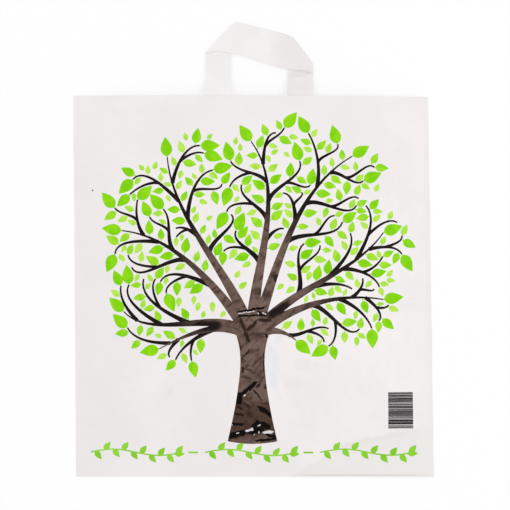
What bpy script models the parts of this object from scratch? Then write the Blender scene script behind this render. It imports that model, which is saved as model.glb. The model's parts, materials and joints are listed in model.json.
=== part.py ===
"""Plastic carrier bag with soft loop handles, lying flat on its back panel, its mouth a little open.

Metres, +Z up. The origin is under the middle of the bag with its handles, on the surface it lies on.
X runs across the bag, +Y towards the mouth and the handles, and the printed front panel faces +Z.
The print is drawn in bag coordinates: x from the bag's middle, y from its bottom edge.
"""

import math
import random
from collections import defaultdict

import bmesh
import bpy
from mathutils import geometry

# Driving sizes of the bag
BAG_WIDTH = 0.400
BAG_HEIGHT = 0.430
FILM = 0.0003
SEAM = 0.004
BELLY = 0.014
MOUTH = 0.010
BELLY_Y = 0.220
BOTTOM_RISE = 0.110
SIDE_FULLNESS = 2.6
PANEL_COLUMNS = 18
RISE_ROWS = 6
UPPER_ROWS = 8

# Handles: one folded strap each, welded inside the mouth
STRAP_WIDTH = 0.0287
LEFT_LEG_X = -0.0385
RIGHT_LEG_X = 0.0540
LEG_TUCK = 0.040
LEFT_FOLD_LOW = 0.047
LEFT_FOLD_HIGH = 0.083
RIGHT_FOLD_LOW = 0.025
RIGHT_FOLD_HIGH = 0.067
FOLD_SPREAD = 0.005
FOLD_RADIUS = 0.001
FOLD_STEPS = 6
DROOP = 0.022
LEG_STEPS = 5
REAR_OFFSET = 0.0015
WELD_GAP = 0.0003
STACK_GAP = 0.0003

# Print: thin skins of ink, the leaves first and the dark limbs over them
INK = 0.0003
INK_GAP = 0.0003
TRUNK_FOOT_Y = 0.041
TRUNK_FOOT_WIDTH = 0.056
TRUNK_FOOT_ROUND = 0.003
TRUNK_WAIST_Y = 0.130
TRUNK_WAIST_WIDTH = 0.027
TRUNK_FORK_Y = 0.176
TRUNK_FORK_WIDTH = 0.050
TRUNK_ROWS = 8
CROWN_SIDE = 0.016
CROWN_TOP = 0.014
CROWN_LOW = 0.104
CROWN_CLEAR_TRUNK = 0.045
BOUGHS = 9
BOUGH_SPREAD = math.radians(104)
BOUGH_WIDTH = 0.0135
BOUGH_ROOT_DROP = 0.012
BOUGH_SHORTEST = 0.040
BOUGH_INSET = 0.018
BOUGH_STEPS = 7
TWIG_WIDTH = 0.0042
TWIG_LENGTH = 0.062
TWIG_END_INSET = 0.014
TWIG_INSET = 0.008
TWIG_STEPS = 4
BOUGH_LINE_STEPS = 5
TWIG_LINE_STEPS = 3
SPRIG_LENGTH = 0.034
TIP_WIDTH = 0.0013
LEAF_LENGTH = 0.0165
LEAF_SMALL = 0.0105
LEAF_FATNESS = 0.25
LEAF_PITCH = 0.0078
STALK_WIDTH = 0.0009
STALK_SHORT = 0.0010
STALK_LONG = 0.0025
END_STALK = 0.0005
LEAF_DRAWN_FROM = 0.0130
PRINT_CLEARANCE = 0.001
LAYOUT_PITCH = 0.002
SEED = 2

# Border of three leafy sprays with a dash between each, and a block of plain bars
BORDER_MARGIN_LEFT = 0.017
BORDER_MARGIN_RIGHT = 0.021
BORDER_Y = 0.028
BORDER_WAVE = 0.0035
BORDER_STEM = 0.0016
BORDER_LEAF = 0.0115
BORDER_LEAVES = 10
BORDER_STEPS = 12
DASH_LENGTH = 0.011
DASH_WIDTH = 0.0020
DASH_ROOM = 0.027
BARS_MARGIN = 0.0206
BARS_Y = 0.0550
BARS_WIDTH = 0.0270
BARS_HEIGHT = 0.0400
BAR_UNIT = 0.0008
BAR_RAIL = 0.0012

BARS_X = BAG_WIDTH / 2 - BARS_MARGIN - BARS_WIDTH
LOOP_REACH = LEFT_FOLD_HIGH + FOLD_RADIUS
MIDDLE_Y = (BAG_HEIGHT + LOOP_REACH) / 2


def clear_scene():
    for thing in list(bpy.data.objects):
        bpy.data.objects.remove(thing, do_unlink=True)


def finish(name, colour, roughness):
    """A Principled material for one sub-part."""
    made = bpy.data.materials.new(name)
    made.use_nodes = True
    shader = made.node_tree.nodes["Principled BSDF"]
    shader.inputs["Base Color"].default_value = (*colour, 1)
    shader.inputs["Roughness"].default_value = roughness
    shader.inputs["Metallic"].default_value = 0
    return made


def smooth(t):
    t = min(1.0, max(0.0, t))
    return t * t * (3 - 2 * t)


def spread(low, high, count):
    """count + 1 values from low to high, evenly apart."""
    return [low + (high - low) * k / count for k in range(count + 1)]


def room_inside(x, y):
    """Height of the space between the two panels at a point of the bag."""
    half = BAG_WIDTH / 2 - SEAM
    across = max(0.0, 1 - (abs(x) / half) ** SIDE_FULLNESS)
    rise = math.sin(math.pi / 2 * min(1.0, max(0.0, (y - SEAM) / BOTTOM_RISE)))
    fall = smooth((y - BELLY_Y) / (BAG_HEIGHT - BELLY_Y))
    return across * rise * (BELLY + (MOUTH - BELLY) * fall)


def front_face(x, y):
    """Height of the front panel's outer face."""
    return 2 * FILM + room_inside(x, y)


def place(x, y, z):
    """A point of the bag, in the part's own frame."""
    return x, y - MIDDLE_Y, z


def add_object(name, bm, material):
    bmesh.ops.recalc_face_normals(bm, faces=bm.faces)
    mesh = bpy.data.meshes.new(name)
    bm.to_mesh(mesh)
    bm.free()
    mesh.materials.append(material)
    made = bpy.data.objects.new(name, mesh)
    bpy.context.scene.collection.objects.link(made)
    return made


def sheet(bm, columns, rows, height):
    """A grid of film points and its faces, where height gives each point's level."""
    grid = [[bm.verts.new(place(x, y, height(x, y))) for y in rows] for x in columns]
    for left, right in zip(grid, grid[1:]):
        for a, b, c, d in zip(left, right, right[1:], left[1:]):
            bm.faces.new((a, b, c, d))
    return grid


def bag_body(material):
    """The bag: one tube of film, flattened, closed along its bottom and sides and open at the mouth."""
    half = BAG_WIDTH / 2
    inner = spread(SEAM - half, half - SEAM, PANEL_COLUMNS)
    columns = [-half] + inner + [half]
    rise = spread(SEAM, SEAM + BOTTOM_RISE, RISE_ROWS)
    upper = spread(SEAM + BOTTOM_RISE, BAG_HEIGHT, UPPER_ROWS)[1:]
    rows = [0.0] + rise + upper
    bm = bmesh.new()
    front = sheet(bm, columns, rows, front_face)
    back = sheet(bm, columns, rows, lambda x, y: 0.0)
    front_inside = sheet(bm, inner, rise + upper, lambda x, y: front_face(x, y) - FILM)
    back_inside = sheet(bm, inner, rise + upper, lambda x, y: FILM)
    for outer_pair in ((front[0], back[0]), (front[-1], back[-1])):
        close_strip(bm, *outer_pair)
    close_strip(bm, [column[0] for column in front], [column[0] for column in back])
    for sheet_out, sheet_in in ((front, front_inside), (back, back_inside)):
        close_strip(bm, [c[-1] for c in sheet_out[1:-1]], [c[-1] for c in sheet_in])
    for side, end in ((0, 1), (-1, -2)):
        corner = front_inside[side][-1]
        bm.faces.new((front[side][-1], back[side][-1], back[end][-1], corner, front[end][-1]))
    bmesh.ops.remove_doubles(bm, verts=bm.verts, dist=FILM / 100)
    return add_object("bag_body", bm, material)


def close_strip(bm, first, second):
    """Faces between two rows of points of equal length."""
    for a, b, c, d in zip(first, second, second[1:], first[1:]):
        bm.faces.new((a, b, c, d))


def handle(name, offset, tucked, resting, material):
    """A flat strap folded over twice: up the left leg, along the bridge in front, down the right leg.

    tucked gives the strap's level inside the mouth and resting its level beyond it.
    """
    half = STRAP_WIDTH / 2
    low_left = (LEFT_LEG_X - half + offset, BAG_HEIGHT + LEFT_FOLD_LOW)
    high_left = (LEFT_LEG_X + half + FOLD_SPREAD + offset, BAG_HEIGHT + LEFT_FOLD_HIGH)
    low_right = (RIGHT_LEG_X + half + offset, BAG_HEIGHT + RIGHT_FOLD_LOW)
    high_right = (RIGHT_LEG_X - half + FOLD_SPREAD + offset, BAG_HEIGHT + RIGHT_FOLD_HIGH)

    def leg(outer_x, inner_x, outer_end, inner_end):
        found = []
        for share in spread(0, 1, LEG_STEPS):
            y = BAG_HEIGHT - LEG_TUCK + LEG_TUCK * share
            found.append([(x, y, tucked(x, y)) for x in (outer_x, inner_x)])
        for share in spread(0, 1, LEG_STEPS)[1:]:
            y = BAG_HEIGHT + DROOP * share
            found.append([(x, y, drooping(x, y)) for x in (outer_x, inner_x)])
        return found + [[(*outer_end, resting), (*inner_end, resting)]]

    def drooping(x, y):
        start = tucked(x, BAG_HEIGHT)
        return start + (resting - start) * smooth((y - BAG_HEIGHT) / DROOP)

    def fold(outer, inner, away, level, way):
        """The film rolls round a soft fold from this level to the other side of the strap."""
        turn = []
        for share in spread(0, 1, FOLD_STEPS)[1:]:
            out = FOLD_RADIUS * math.sin(math.pi * share)
            up = level + way * FOLD_RADIUS * (1 - math.cos(math.pi * share))
            turn.append([(x + away[0] * out, y + away[1] * out, up) for x, y in (outer, inner)])
        return turn

    over = resting + 2 * FOLD_RADIUS
    sections = leg(low_left[0], high_left[0] - FOLD_SPREAD, low_left, high_left)
    sections += fold(low_left, high_left, square_off(high_left, low_left), resting, 1)
    sections += [[(*low_right, over), (*high_right, over)]]
    sections += fold(low_right, high_right, square_off(low_right, high_right), over, -1)
    right = leg(low_right[0], high_right[0] - FOLD_SPREAD, low_right, high_right)
    sections += right[-2::-1]
    bm = bmesh.new()
    rows = []
    for outer, inner in sections:
        middle = [(a + b) / 2 for a, b in zip(outer, inner)]
        rows.append([bm.verts.new(place(*point)) for point in (outer, middle, inner)])
    for row, following in zip(rows, rows[1:]):
        close_strip(bm, row, following)
    made = add_object(name, bm, material)
    film = made.modifiers.new("Film", "SOLIDIFY")
    film.thickness = FILM
    film.offset = 0
    return made


def square_off(a, b):
    """The flat unit vector to the left of the line from a to b, seen from above, turned away."""
    length = math.dist(a, b)
    return (b[1] - a[1]) / length, -(b[0] - a[0]) / length


def heading_vector(angle):
    """A unit vector turned clockwise from straight up the bag."""
    return math.sin(angle), math.cos(angle)


class Branch:
    """A limb of the drawing: one bend from start to end, wide at its root and thin at its tip."""

    def __init__(self, start, leaving, end, arriving, wide, parent=None, parent_at=0.0):
        self.start, self.end, self.wide = start, end, wide
        self.parent, self.parent_at = parent, parent_at
        self.length = math.dist(start, end)
        self.out = [self.length * c for c in heading_vector(leaving)]
        self.come = [self.length * c for c in heading_vector(arriving)]

    def at(self, t):
        a, b = 2 * t**3 - 3 * t**2 + 1, t**3 - 2 * t**2 + t
        c, d = 3 * t**2 - 2 * t**3, t**3 - t**2
        ends = zip(self.start, self.out, self.end, self.come)
        return tuple(a * p + b * u + c * q + d * v for p, u, q, v in ends)

    def heading(self, t):
        (x0, y0), (x1, y1) = self.at(max(0.0, t - 0.02)), self.at(min(1.0, t + 0.02))
        return math.atan2(x1 - x0, y1 - y0)

    def width(self, t):
        return TIP_WIDTH + (self.wide - TIP_WIDTH) * (1 - t) ** 1.35

    def discs(self, first=0.0):
        count = max(4, round(self.length / (1.5 * LAYOUT_PITCH)))
        return [(*self.at(t), self.width(t) / 2) for t in spread(first, 1, count)]

    def spine(self, steps):
        """The limb's middle line as straight runs, from its root on the parent's own runs.

        steps gives the number of runs for a main limb and for a twig.
        """
        points = [self.at(t) for t in spread(0, 1, steps[1 if self.parent else 0])]
        if self.parent:
            points[0] = self.parent.on_spine(self.parent_at, steps)
        return points

    def on_spine(self, t, steps):
        points = self.spine(steps)
        runs = len(points) - 1
        k = min(runs - 1, int(t * runs))
        return tuple(a + (b - a) * (t * runs - k) for a, b in zip(points[k], points[k + 1]))


class Leaf:
    """A pointed oval leaf on a short stalk."""

    def __init__(self, limb, t, heading, stalk, length):
        self.limb, self.t, self.heading, self.length = limb, t, heading, length
        self.base = self.along(limb.at(t), stalk)
        self.tip = self.along(self.base, length)

    def along(self, point, far, aside=0.0):
        s, c = heading_vector(self.heading)
        return point[0] + s * far + c * aside, point[1] + c * far - s * aside

    def outline(self, steps, root=None):
        """The leaf's edge. With a root it runs down into a stalk that starts there."""
        right, left = [], []
        for t in spread(0, 1, steps)[1:-1]:
            half = self.length * LEAF_FATNESS * math.sin(math.pi * t**0.8) ** 0.9 * (1.12 - 0.3 * t)
            right.append(self.along(self.base, self.length * t, half))
            left.append(self.along(self.base, self.length * t, -half))
        foot = [self.base]
        if root:
            foot = [self.along(root, 0.0, -STALK_WIDTH / 2), self.along(root, 0.0, STALK_WIDTH / 2)]
        return foot + right + [self.tip] + left[::-1]

    def discs(self):
        shares = ((0.15, 0.13), (0.4, 0.25), (0.65, 0.2), (0.9, 0.07))
        return [(*self.along(self.base, self.length * t), self.length * r) for t, r in shares]


class Room:
    """The discs already taken on the print, kept in square cells so that a test is quick."""

    CELL = 15 * LAYOUT_PITCH

    def __init__(self):
        self.cells = defaultdict(list)

    def take(self, discs, owner=None):
        for x, y, r in discs:
            cell = math.floor(x / self.CELL), math.floor(y / self.CELL)
            self.cells[cell].append((x, y, r, owner))

    def free(self, discs, gap, but=None):
        for x, y, r in discs:
            column, row = math.floor(x / self.CELL), math.floor(y / self.CELL)
            for i in (column - 1, column, column + 1):
                for j in (row - 1, row, row + 1):
                    for ox, oy, taken, owner in self.cells.get((i, j), ()):
                        near = (x - ox) ** 2 + (y - oy) ** 2 < (r + taken + gap) ** 2
                        if near and (but is None or owner is not but):
                            return False
        return True


def in_crown(x, y, inset=0.0):
    """Whether a point lies in the tree's crown, a full round shape that leaves room for the trunk."""
    side = BAG_WIDTH / 2 - CROWN_SIDE - inset
    top, low = BAG_HEIGHT - CROWN_TOP - inset, CROWN_LOW + inset
    middle = low + (top - low) * 0.47
    up = top - middle if y > middle else middle - low
    beside = abs(x) > CROWN_CLEAR_TRUNK + (TRUNK_FORK_Y - y) * 0.25
    round_part = abs(x / side) ** 2.25 + abs((y - middle) / up) ** 2.25 <= 1
    return round_part and (y > TRUNK_FORK_Y or beside)


def grow_boughs(rng):
    """The main limbs, fanned out from the top of the trunk to near the edge of the crown."""
    boughs = []
    for k in range(BOUGHS):
        share = 2 * k / (BOUGHS - 1) - 1
        aim = share * BOUGH_SPREAD + math.radians(rng.uniform(-3, 3))
        start = (share * TRUNK_WAIST_WIDTH * 0.4, TRUNK_FORK_Y - BOUGH_ROOT_DROP)
        s, c = heading_vector(aim)
        far = BOUGH_SHORTEST
        while in_crown(start[0] + s * far, start[1] + c * far, BOUGH_INSET):
            far += LAYOUT_PITCH
        far *= rng.uniform(0.86, 0.98)
        end = (start[0] + s * far, start[1] + c * far)
        bend = math.radians(rng.uniform(16, 44)) * (1 if k % 2 else -1)
        if abs(share) > 0.8:
            bend = math.copysign(bend, share)
        wide = BOUGH_WIDTH * (1.15 - 0.25 * abs(share))
        boughs.append(Branch(start, aim * 0.66, end, aim + bend, wide))
    return boughs


def shoot(rng, room, parent, t, side, length, wide):
    """A twig from a limb, tried at falling lengths until it has room, or None."""
    root = parent.at(t)
    for trial in range(14):
        turn = math.radians(rng.uniform(32, 62)) * side
        aim = parent.heading(t) + turn
        far = length * rng.uniform(0.75, 1.15) * (1 - trial * 0.045)
        s, c = heading_vector(aim)
        end = (root[0] + s * far, root[1] + c * far)
        if not in_crown(*end, TWIG_END_INSET):
            continue
        curl = math.radians(rng.uniform(20, 75)) * (side if rng.random() < 0.6 else -side)
        leaving = parent.heading(t) + turn * 0.55
        twig = Branch(root, leaving, end, aim + curl, wide, parent, t)
        inside = all(in_crown(*twig.at(q), TWIG_INSET) for q in spread(0, 1, 5)[1:])
        if inside and room.free(twig.discs(0.3), 4 * PRINT_CLEARANCE, parent):
            return twig
    return None


def grow_twigs(rng, room, parents, places, length, wide):
    """Twigs on both sides of each parent limb, at the given shares of its length."""
    found = []
    side = 1
    for parent in parents:
        for t in places:
            side = -side
            root_width = max(wide * (1.3 - 0.6 * t), parent.width(t) * 0.55)
            twig = shoot(rng, room, parent, t, side, length * (1.25 - 0.5 * t), root_width)
            if twig:
                found.append(twig)
                room.take(twig.discs(0.12), twig)
    return found


def end_leaf(room, limb):
    """The larger leaf at a limb's tip, made smaller or turned until it has room."""
    for shrink in (1.35, 1.15, 0.95, 0.8, 0.65):
        for lean in (0.0, 0.3, -0.3, 0.6, -0.6):
            leaf = Leaf(limb, 1.0, limb.heading(1.0) + lean, END_STALK, LEAF_LENGTH * shrink)
            if in_crown(*leaf.tip) and room.free(leaf.discs(), PRINT_CLEARANCE, limb):
                return leaf
    return None


def side_leaf(rng, room, limb, t, side):
    """A leaf beside a limb, made smaller or turned until it has room."""
    heading = limb.heading(t) + side * math.radians(rng.uniform(42, 68))
    stalk = limb.width(t) * 0.65 + rng.uniform(STALK_SHORT, STALK_LONG)
    length = rng.uniform(LEAF_SMALL, LEAF_LENGTH * 1.1)
    for shrink in (1.0, 0.86, 0.72, 0.6):
        for lean in (0.0, 0.25, -0.25, 0.5, -0.5):
            if length * shrink < LEAF_SMALL * 0.75:
                return None
            leaf = Leaf(limb, t, heading + lean, stalk, length * shrink)
            if in_crown(*leaf.tip) and room.free(leaf.discs(), PRINT_CLEARANCE):
                return leaf
    return None


def grow_leaves(rng, room, limbs):
    leaves = []
    for limb in limbs:
        leaf = end_leaf(room, limb)
        if leaf:
            leaves.append(leaf)
            room.take(leaf.discs())
    for limb in limbs:
        first = 0.22 if limb.parent else 0.36
        count = max(2, round(limb.length * (1 - first) / LEAF_PITCH))
        for k in range(count):
            t = first + (0.96 - first) * (k + 0.5) / count
            leaf = side_leaf(rng, room, limb, t, 1 if k % 2 else -1)
            if leaf:
                leaves.append(leaf)
                room.take(leaf.discs())
    return leaves


def grow_tree():
    rng = random.Random(SEED)
    room = Room()
    boughs = grow_boughs(rng)
    for bough in boughs:
        room.take(bough.discs(), bough)
    twigs = grow_twigs(rng, room, boughs, (0.34, 0.45, 0.56, 0.66, 0.76, 0.86), TWIG_LENGTH, TWIG_WIDTH)
    sprigs = grow_twigs(rng, room, twigs, (0.45,), SPRIG_LENGTH, TWIG_WIDTH * 0.6)
    return boughs, twigs, sprigs, grow_leaves(rng, room, boughs + twigs + sprigs)


def strip(points, widths):
    """Four-cornered patches that follow a line of points, each point with its own width."""
    sides = []
    for k, (x, y) in enumerate(points):
        (x0, y0), (x1, y1) = points[max(0, k - 1)], points[min(len(points) - 1, k + 1)]
        length = math.dist((x0, y0), (x1, y1))
        ax, ay = (y1 - y0) / length * widths[k] / 2, (x0 - x1) / length * widths[k] / 2
        sides.append(((x + ax, y + ay), (x - ax, y - ay)))
    return [[a, c, d, b] for (a, b), (c, d) in zip(sides, sides[1:])]


def trunk_half_width(y):
    if y < TRUNK_WAIST_Y:
        flare = ((TRUNK_WAIST_Y - y) / (TRUNK_WAIST_Y - TRUNK_FOOT_Y)) ** 1.5
        return (TRUNK_WAIST_WIDTH + (TRUNK_FOOT_WIDTH - TRUNK_WAIST_WIDTH) * flare) / 2
    flare = ((y - TRUNK_WAIST_Y) / (TRUNK_FORK_Y - TRUNK_WAIST_Y)) ** 2.2
    return (TRUNK_WAIST_WIDTH + (TRUNK_FORK_WIDTH - TRUNK_WAIST_WIDTH) * flare) / 2


def trunk():
    """The trunk in rows of two patches, and the slightly rounded line of its foot."""
    rows = []
    for y in spread(TRUNK_FOOT_Y, TRUNK_FORK_Y, TRUNK_ROWS):
        half = trunk_half_width(y)
        rows.append([(-half, y), (0.0, y), (half, y)])
    patches = []
    for low, high in zip(rows, rows[1:]):
        patches += [[a, b, d, c] for a, b, c, d in zip(low, low[1:], high, high[1:])]
    foot = [(half * k / 4, TRUNK_FOOT_Y - TRUNK_FOOT_ROUND * (1 - (k / 4) ** 2))
            for half in [TRUNK_FOOT_WIDTH / 2] for k in range(-4, 5)]
    return patches + [foot[:5] + [rows[0][1]], foot[4:] + [rows[0][1]]]


def counter_clockwise(outline):
    area = sum(a[0] * b[1] - b[0] * a[1] for a, b in zip(outline, outline[1:] + outline[:1]))
    return outline if area > 0 else outline[::-1]


def edges_of(piece):
    return [(min(a, b), max(a, b)) for a, b in zip(piece, piece[1:] + piece[:1])]


def count_edges(pieces):
    """How many of the flat pieces use each edge: one on the rim of the ink, two inside it."""
    used = defaultdict(int)
    for piece in pieces:
        for edge in edges_of(piece):
            used[edge] += 1
    return used


def skin(name, outlines, layer, material):
    """One thin plate of ink over the front panel, the shape of all its outlines together.

    A gap of a single triangle between outlines that meet is inked too.
    """
    points, faces = [], []
    for outline in outlines:
        outline = counter_clockwise(outline)
        faces.append(list(range(len(points), len(points) + len(outline))))
        points += outline
    flat, _, pieces, _, _, owners = geometry.delaunay_2d_cdt(points, [], faces, 0, 1e-7, True)
    low = INK_GAP + layer * (INK + INK_GAP)
    bm = bmesh.new()
    levels = []
    for lift in (low, low + INK):
        levels.append([bm.verts.new(place(x, y, front_face(x, y) + lift)) for x, y in flat])
    inked = [piece for piece, owner in zip(pieces, owners) if owner]
    used = count_edges(inked)
    bare = [piece for piece, owner in zip(pieces, owners) if not owner]
    inked += [piece for piece in bare if all(used.get(edge) for edge in edges_of(piece))]
    for piece in inked:
        for level in levels:
            bm.faces.new([level[k] for k in piece])
    for (a, b), count in count_edges(inked).items():
        if count == 1:
            bm.faces.new([levels[0][a], levels[0][b], levels[1][b], levels[1][a]])
    bmesh.ops.delete(bm, geom=[v for v in bm.verts if not v.link_faces], context="VERTS")
    return add_object(name, bm, material)


def tree_print(boughs, twigs, material):
    outlines = trunk()
    for limb in boughs + twigs:
        points = limb.spine((BOUGH_STEPS, TWIG_STEPS))
        outlines += strip(points, [limb.width(t) for t in spread(0, 1, len(points) - 1)])
    return skin("tree_print", outlines, 1, material)


def leaf_print(boughs, twigs, leaves, material):
    """The leaves, with the fine green lines that join them under the dark limbs."""
    steps = BOUGH_LINE_STEPS, TWIG_LINE_STEPS
    outlines = strip([bough.start for bough in boughs], [STALK_WIDTH] * BOUGHS)
    for limb in boughs + twigs:
        points = limb.spine(steps)
        outlines += strip(points, [STALK_WIDTH] * len(points))
    for leaf in leaves:
        if leaf.limb in boughs + twigs and leaf.length > LEAF_DRAWN_FROM:
            outlines.append(leaf.outline(3, leaf.limb.on_spine(leaf.t, steps)))
    return skin("leaf_print", outlines, 0, material)


def border_spray(name, left, right, material):
    """A wavy stem with leaves on both sides and one at its end."""
    stem = Branch((left, BORDER_Y), math.radians(90), (right, BORDER_Y), math.radians(90), BORDER_STEM)
    points = []
    for t in spread(0, 1, BORDER_STEPS):
        points.append((stem.at(t)[0], BORDER_Y + BORDER_WAVE * math.sin(2 * math.pi * t)))
    outlines = strip(points, [BORDER_STEM] * len(points))
    for k in range(BORDER_LEAVES):
        t = (k + 0.5) / BORDER_LEAVES
        side = 1 if k % 2 else -1
        root = points[round(t * BORDER_STEPS)]
        leaf = Leaf(stem, t, math.radians(90 - 52 * side), 0.0, BORDER_LEAF)
        leaf.base = root
        outlines.append(leaf.outline(3))
    last = Leaf(stem, 1.0, math.radians(90), 0.0, BORDER_LEAF)
    last.base = points[-2]
    last.tip = last.along(last.base, BORDER_LEAF)
    outlines.append(last.outline(3))
    return skin(name, outlines, 0, material)


def border_prints(material):
    start = BORDER_MARGIN_LEFT - BAG_WIDTH / 2
    length = (BAG_WIDTH - BORDER_MARGIN_LEFT - BORDER_MARGIN_RIGHT - 2 * DASH_ROOM) / 3
    for k, name in enumerate(("left", "middle", "right")):
        left = start + k * (length + DASH_ROOM)
        border_spray(f"border_spray_{name}", left, left + length, material)
    for k, name in enumerate(("left", "right")):
        middle = start + (k + 1) * length + (k + 0.5) * DASH_ROOM
        ends = [(middle - DASH_LENGTH / 2, BORDER_Y), (middle + DASH_LENGTH / 2, BORDER_Y)]
        skin(f"border_dash_{name}", strip(ends, [DASH_WIDTH] * 2), 0, material)


def bar_print(material):
    """Plain bars of mixed thickness, one above another, joined along one end."""
    rng = random.Random(SEED)
    outlines = [rectangle(BARS_X, BARS_Y, BAR_RAIL, BARS_HEIGHT)]
    y = BARS_Y
    while y + 3 * BAR_UNIT <= BARS_Y + BARS_HEIGHT:
        thick = BAR_UNIT * rng.choice((1, 1, 2, 3))
        outlines.append(rectangle(BARS_X, y, BARS_WIDTH, thick))
        y += thick + BAR_UNIT * rng.choice((1, 1, 2))
    return skin("bar_print", outlines, 0, material)


def rectangle(x, y, width, height):
    return [(x, y), (x + width, y), (x + width, y + height), (x, y + height)]


def build():
    clear_scene()
    white_film = finish("white_film", (0.86, 0.85, 0.85), 0.42)
    bark_ink = finish("bark_ink", (0.075, 0.052, 0.044), 0.35)
    leaf_ink = finish("leaf_ink", (0.19, 0.58, 0.02), 0.4)
    bar_ink = finish("bar_ink", (0.03, 0.03, 0.035), 0.4)

    bag_body(white_film)
    rear_resting = FILM / 2
    front_resting = rear_resting + 2 * FOLD_RADIUS + FILM + STACK_GAP
    handle("rear_handle", REAR_OFFSET, lambda x, y: 1.5 * FILM + WELD_GAP, rear_resting, white_film)
    handle("front_handle", 0.0, lambda x, y: front_face(x, y) - 1.5 * FILM - WELD_GAP,
           front_resting, white_film)

    boughs, twigs, sprigs, leaves = grow_tree()
    tree_print(boughs, twigs, bark_ink)
    leaf_print(boughs, twigs, leaves, leaf_ink)
    border_prints(leaf_ink)
    bar_print(bar_ink)


build()
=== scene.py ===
# %% [markdown]
# # A printed plastic carrier bag
# The bag lies flat on a white surface, its mouth a little open, and we look straight down on its printed side.
# Lengths are metres, X runs across the bag, +Y points to the mouth and the handles, and +Z is up.
# The solids that stand for each piece come from the frame, and the bag's main sizes are read from them.

# %% The frame
import json
import math
import random
from collections import defaultdict

import bmesh
import bpy
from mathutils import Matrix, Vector, geometry, noise

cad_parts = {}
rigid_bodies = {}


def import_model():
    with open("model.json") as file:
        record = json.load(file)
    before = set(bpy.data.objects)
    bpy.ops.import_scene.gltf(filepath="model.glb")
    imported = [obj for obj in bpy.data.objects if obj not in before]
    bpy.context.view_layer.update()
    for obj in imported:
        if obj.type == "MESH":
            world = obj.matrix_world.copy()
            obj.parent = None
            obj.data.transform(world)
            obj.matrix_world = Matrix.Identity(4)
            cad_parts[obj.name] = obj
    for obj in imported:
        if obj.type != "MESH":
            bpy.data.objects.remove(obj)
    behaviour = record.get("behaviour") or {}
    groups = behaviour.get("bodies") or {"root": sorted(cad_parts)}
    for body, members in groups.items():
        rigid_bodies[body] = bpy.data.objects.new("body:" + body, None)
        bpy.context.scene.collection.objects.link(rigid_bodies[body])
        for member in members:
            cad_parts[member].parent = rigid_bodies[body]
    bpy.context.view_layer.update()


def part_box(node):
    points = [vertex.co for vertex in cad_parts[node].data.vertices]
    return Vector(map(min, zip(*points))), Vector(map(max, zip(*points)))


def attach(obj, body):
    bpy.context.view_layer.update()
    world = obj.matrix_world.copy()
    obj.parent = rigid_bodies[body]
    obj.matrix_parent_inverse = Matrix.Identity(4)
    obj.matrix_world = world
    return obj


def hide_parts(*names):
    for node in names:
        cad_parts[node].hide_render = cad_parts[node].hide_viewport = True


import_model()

bag_low, bag_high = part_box("bag_body")
print("bag solid:", [round(v * 1000, 1) for v in bag_high - bag_low], "mm")

# %% [markdown]
# The bag's width, height and lower edge come from its solid. Real carrier film is about a tenth of a
# millimetre, far thinner than the solid's wall, so it gets a thickness of its own here. The drawing is laid
# out in bag coordinates, x from the middle of the bag and y from its bottom edge. Lists of short lines are
# easier to read in millimetres, so one helper turns such rows into metres.

# %% Sizes and small helpers
BAG_WIDTH = round(bag_high.x - bag_low.x, 4)
BAG_HEIGHT = round(bag_high.y - bag_low.y, 4)
BOTTOM_EDGE = bag_low.y
SOLID_WALL = 0.0003
BELLY = round(bag_high.z - bag_low.z, 4) - 2 * SOLID_WALL
FILM = 0.00012
SEAM = 0.004
SHARP_ANGLE = math.radians(50)


def smooth(t):
    t = min(1.0, max(0.0, t))
    return t * t * (3 - 2 * t)


def spread(low, high, count):
    """count + 1 values from low to high, evenly apart."""
    return [low + (high - low) * k / count for k in range(count + 1)]


def in_metres(rows, lengths=5):
    """Rows that start with some lengths in millimetres, with those lengths in metres."""
    return [(*(value / 1000 for value in row[:lengths]), *row[lengths:]) for row in rows]


def in_frame(x, y, z=0.0):
    """A point in bag coordinates, in the part's frame."""
    return x, y + BOTTOM_EDGE, z


def wavy(x, y, seed):
    """Smooth noise between -1 and 1."""
    return noise.noise(Vector((x, y, seed)))


def add_piece(name, bm, materials):
    """A mesh object from a bmesh, smooth apart from its cut edges, with its materials in order."""
    mesh = bpy.data.meshes.new(name)
    bm.to_mesh(mesh)
    bm.free()
    for material in materials:
        mesh.materials.append(material)
    mesh.shade_smooth()
    mesh.set_sharp_from_angle(angle=SHARP_ANGLE)
    made = bpy.data.objects.new(name, mesh)
    bpy.context.scene.collection.objects.link(made)
    return made


print(f"bag {BAG_WIDTH * 1000:.0f} by {BAG_HEIGHT * 1000:.0f} mm, film {FILM * 1000:.2f} mm")

# %% [markdown]
# ## Shader groups
# Film, ink and straps are all parts of one crinkled sheet, so they share a few effects. Each effect is a
# node group, built once and placed in every material with its own values. The shader that gives the gloss
# stays in each material, where an export can read it.

# %% Helpers for nodes


def connect(tree, value, socket):
    if isinstance(value, bpy.types.NodeSocket):
        tree.links.new(value, socket)
    else:
        socket.default_value = value


def add_node(tree, kind, inputs=None, **settings):
    """A shader node with its settings, and its inputs by name."""
    made = tree.nodes.new("ShaderNode" + kind)
    for label, value in settings.items():
        setattr(made, label, value)
    for label, value in (inputs or {}).items():
        connect(tree, value, made.inputs[label])
    return made


def calc(tree, operation, *values):
    return add_node(tree, "Math", dict(enumerate(values)), operation=operation).outputs[0]


def vector_calc(tree, operation, first, second):
    slot = "Scale" if operation == "SCALE" else 1
    return add_node(tree, "VectorMath", {0: first, slot: second}, operation=operation).outputs[0]


def strongest(tree, masks):
    """The highest of several masks."""
    highest = 0.0
    for mask in masks:
        highest = calc(tree, "MAXIMUM", mask, highest)
    return highest


def ramp(tree, value, low, high, to_low=0.0, to_high=1.0):
    """A smooth change from to_low to to_high, while value goes from low to high."""
    values = {"Value": value, "From Min": low, "From Max": high, "To Min": to_low, "To Max": to_high}
    return add_node(tree, "MapRange", values, interpolation_type="SMOOTHSTEP").outputs["Result"]


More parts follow.
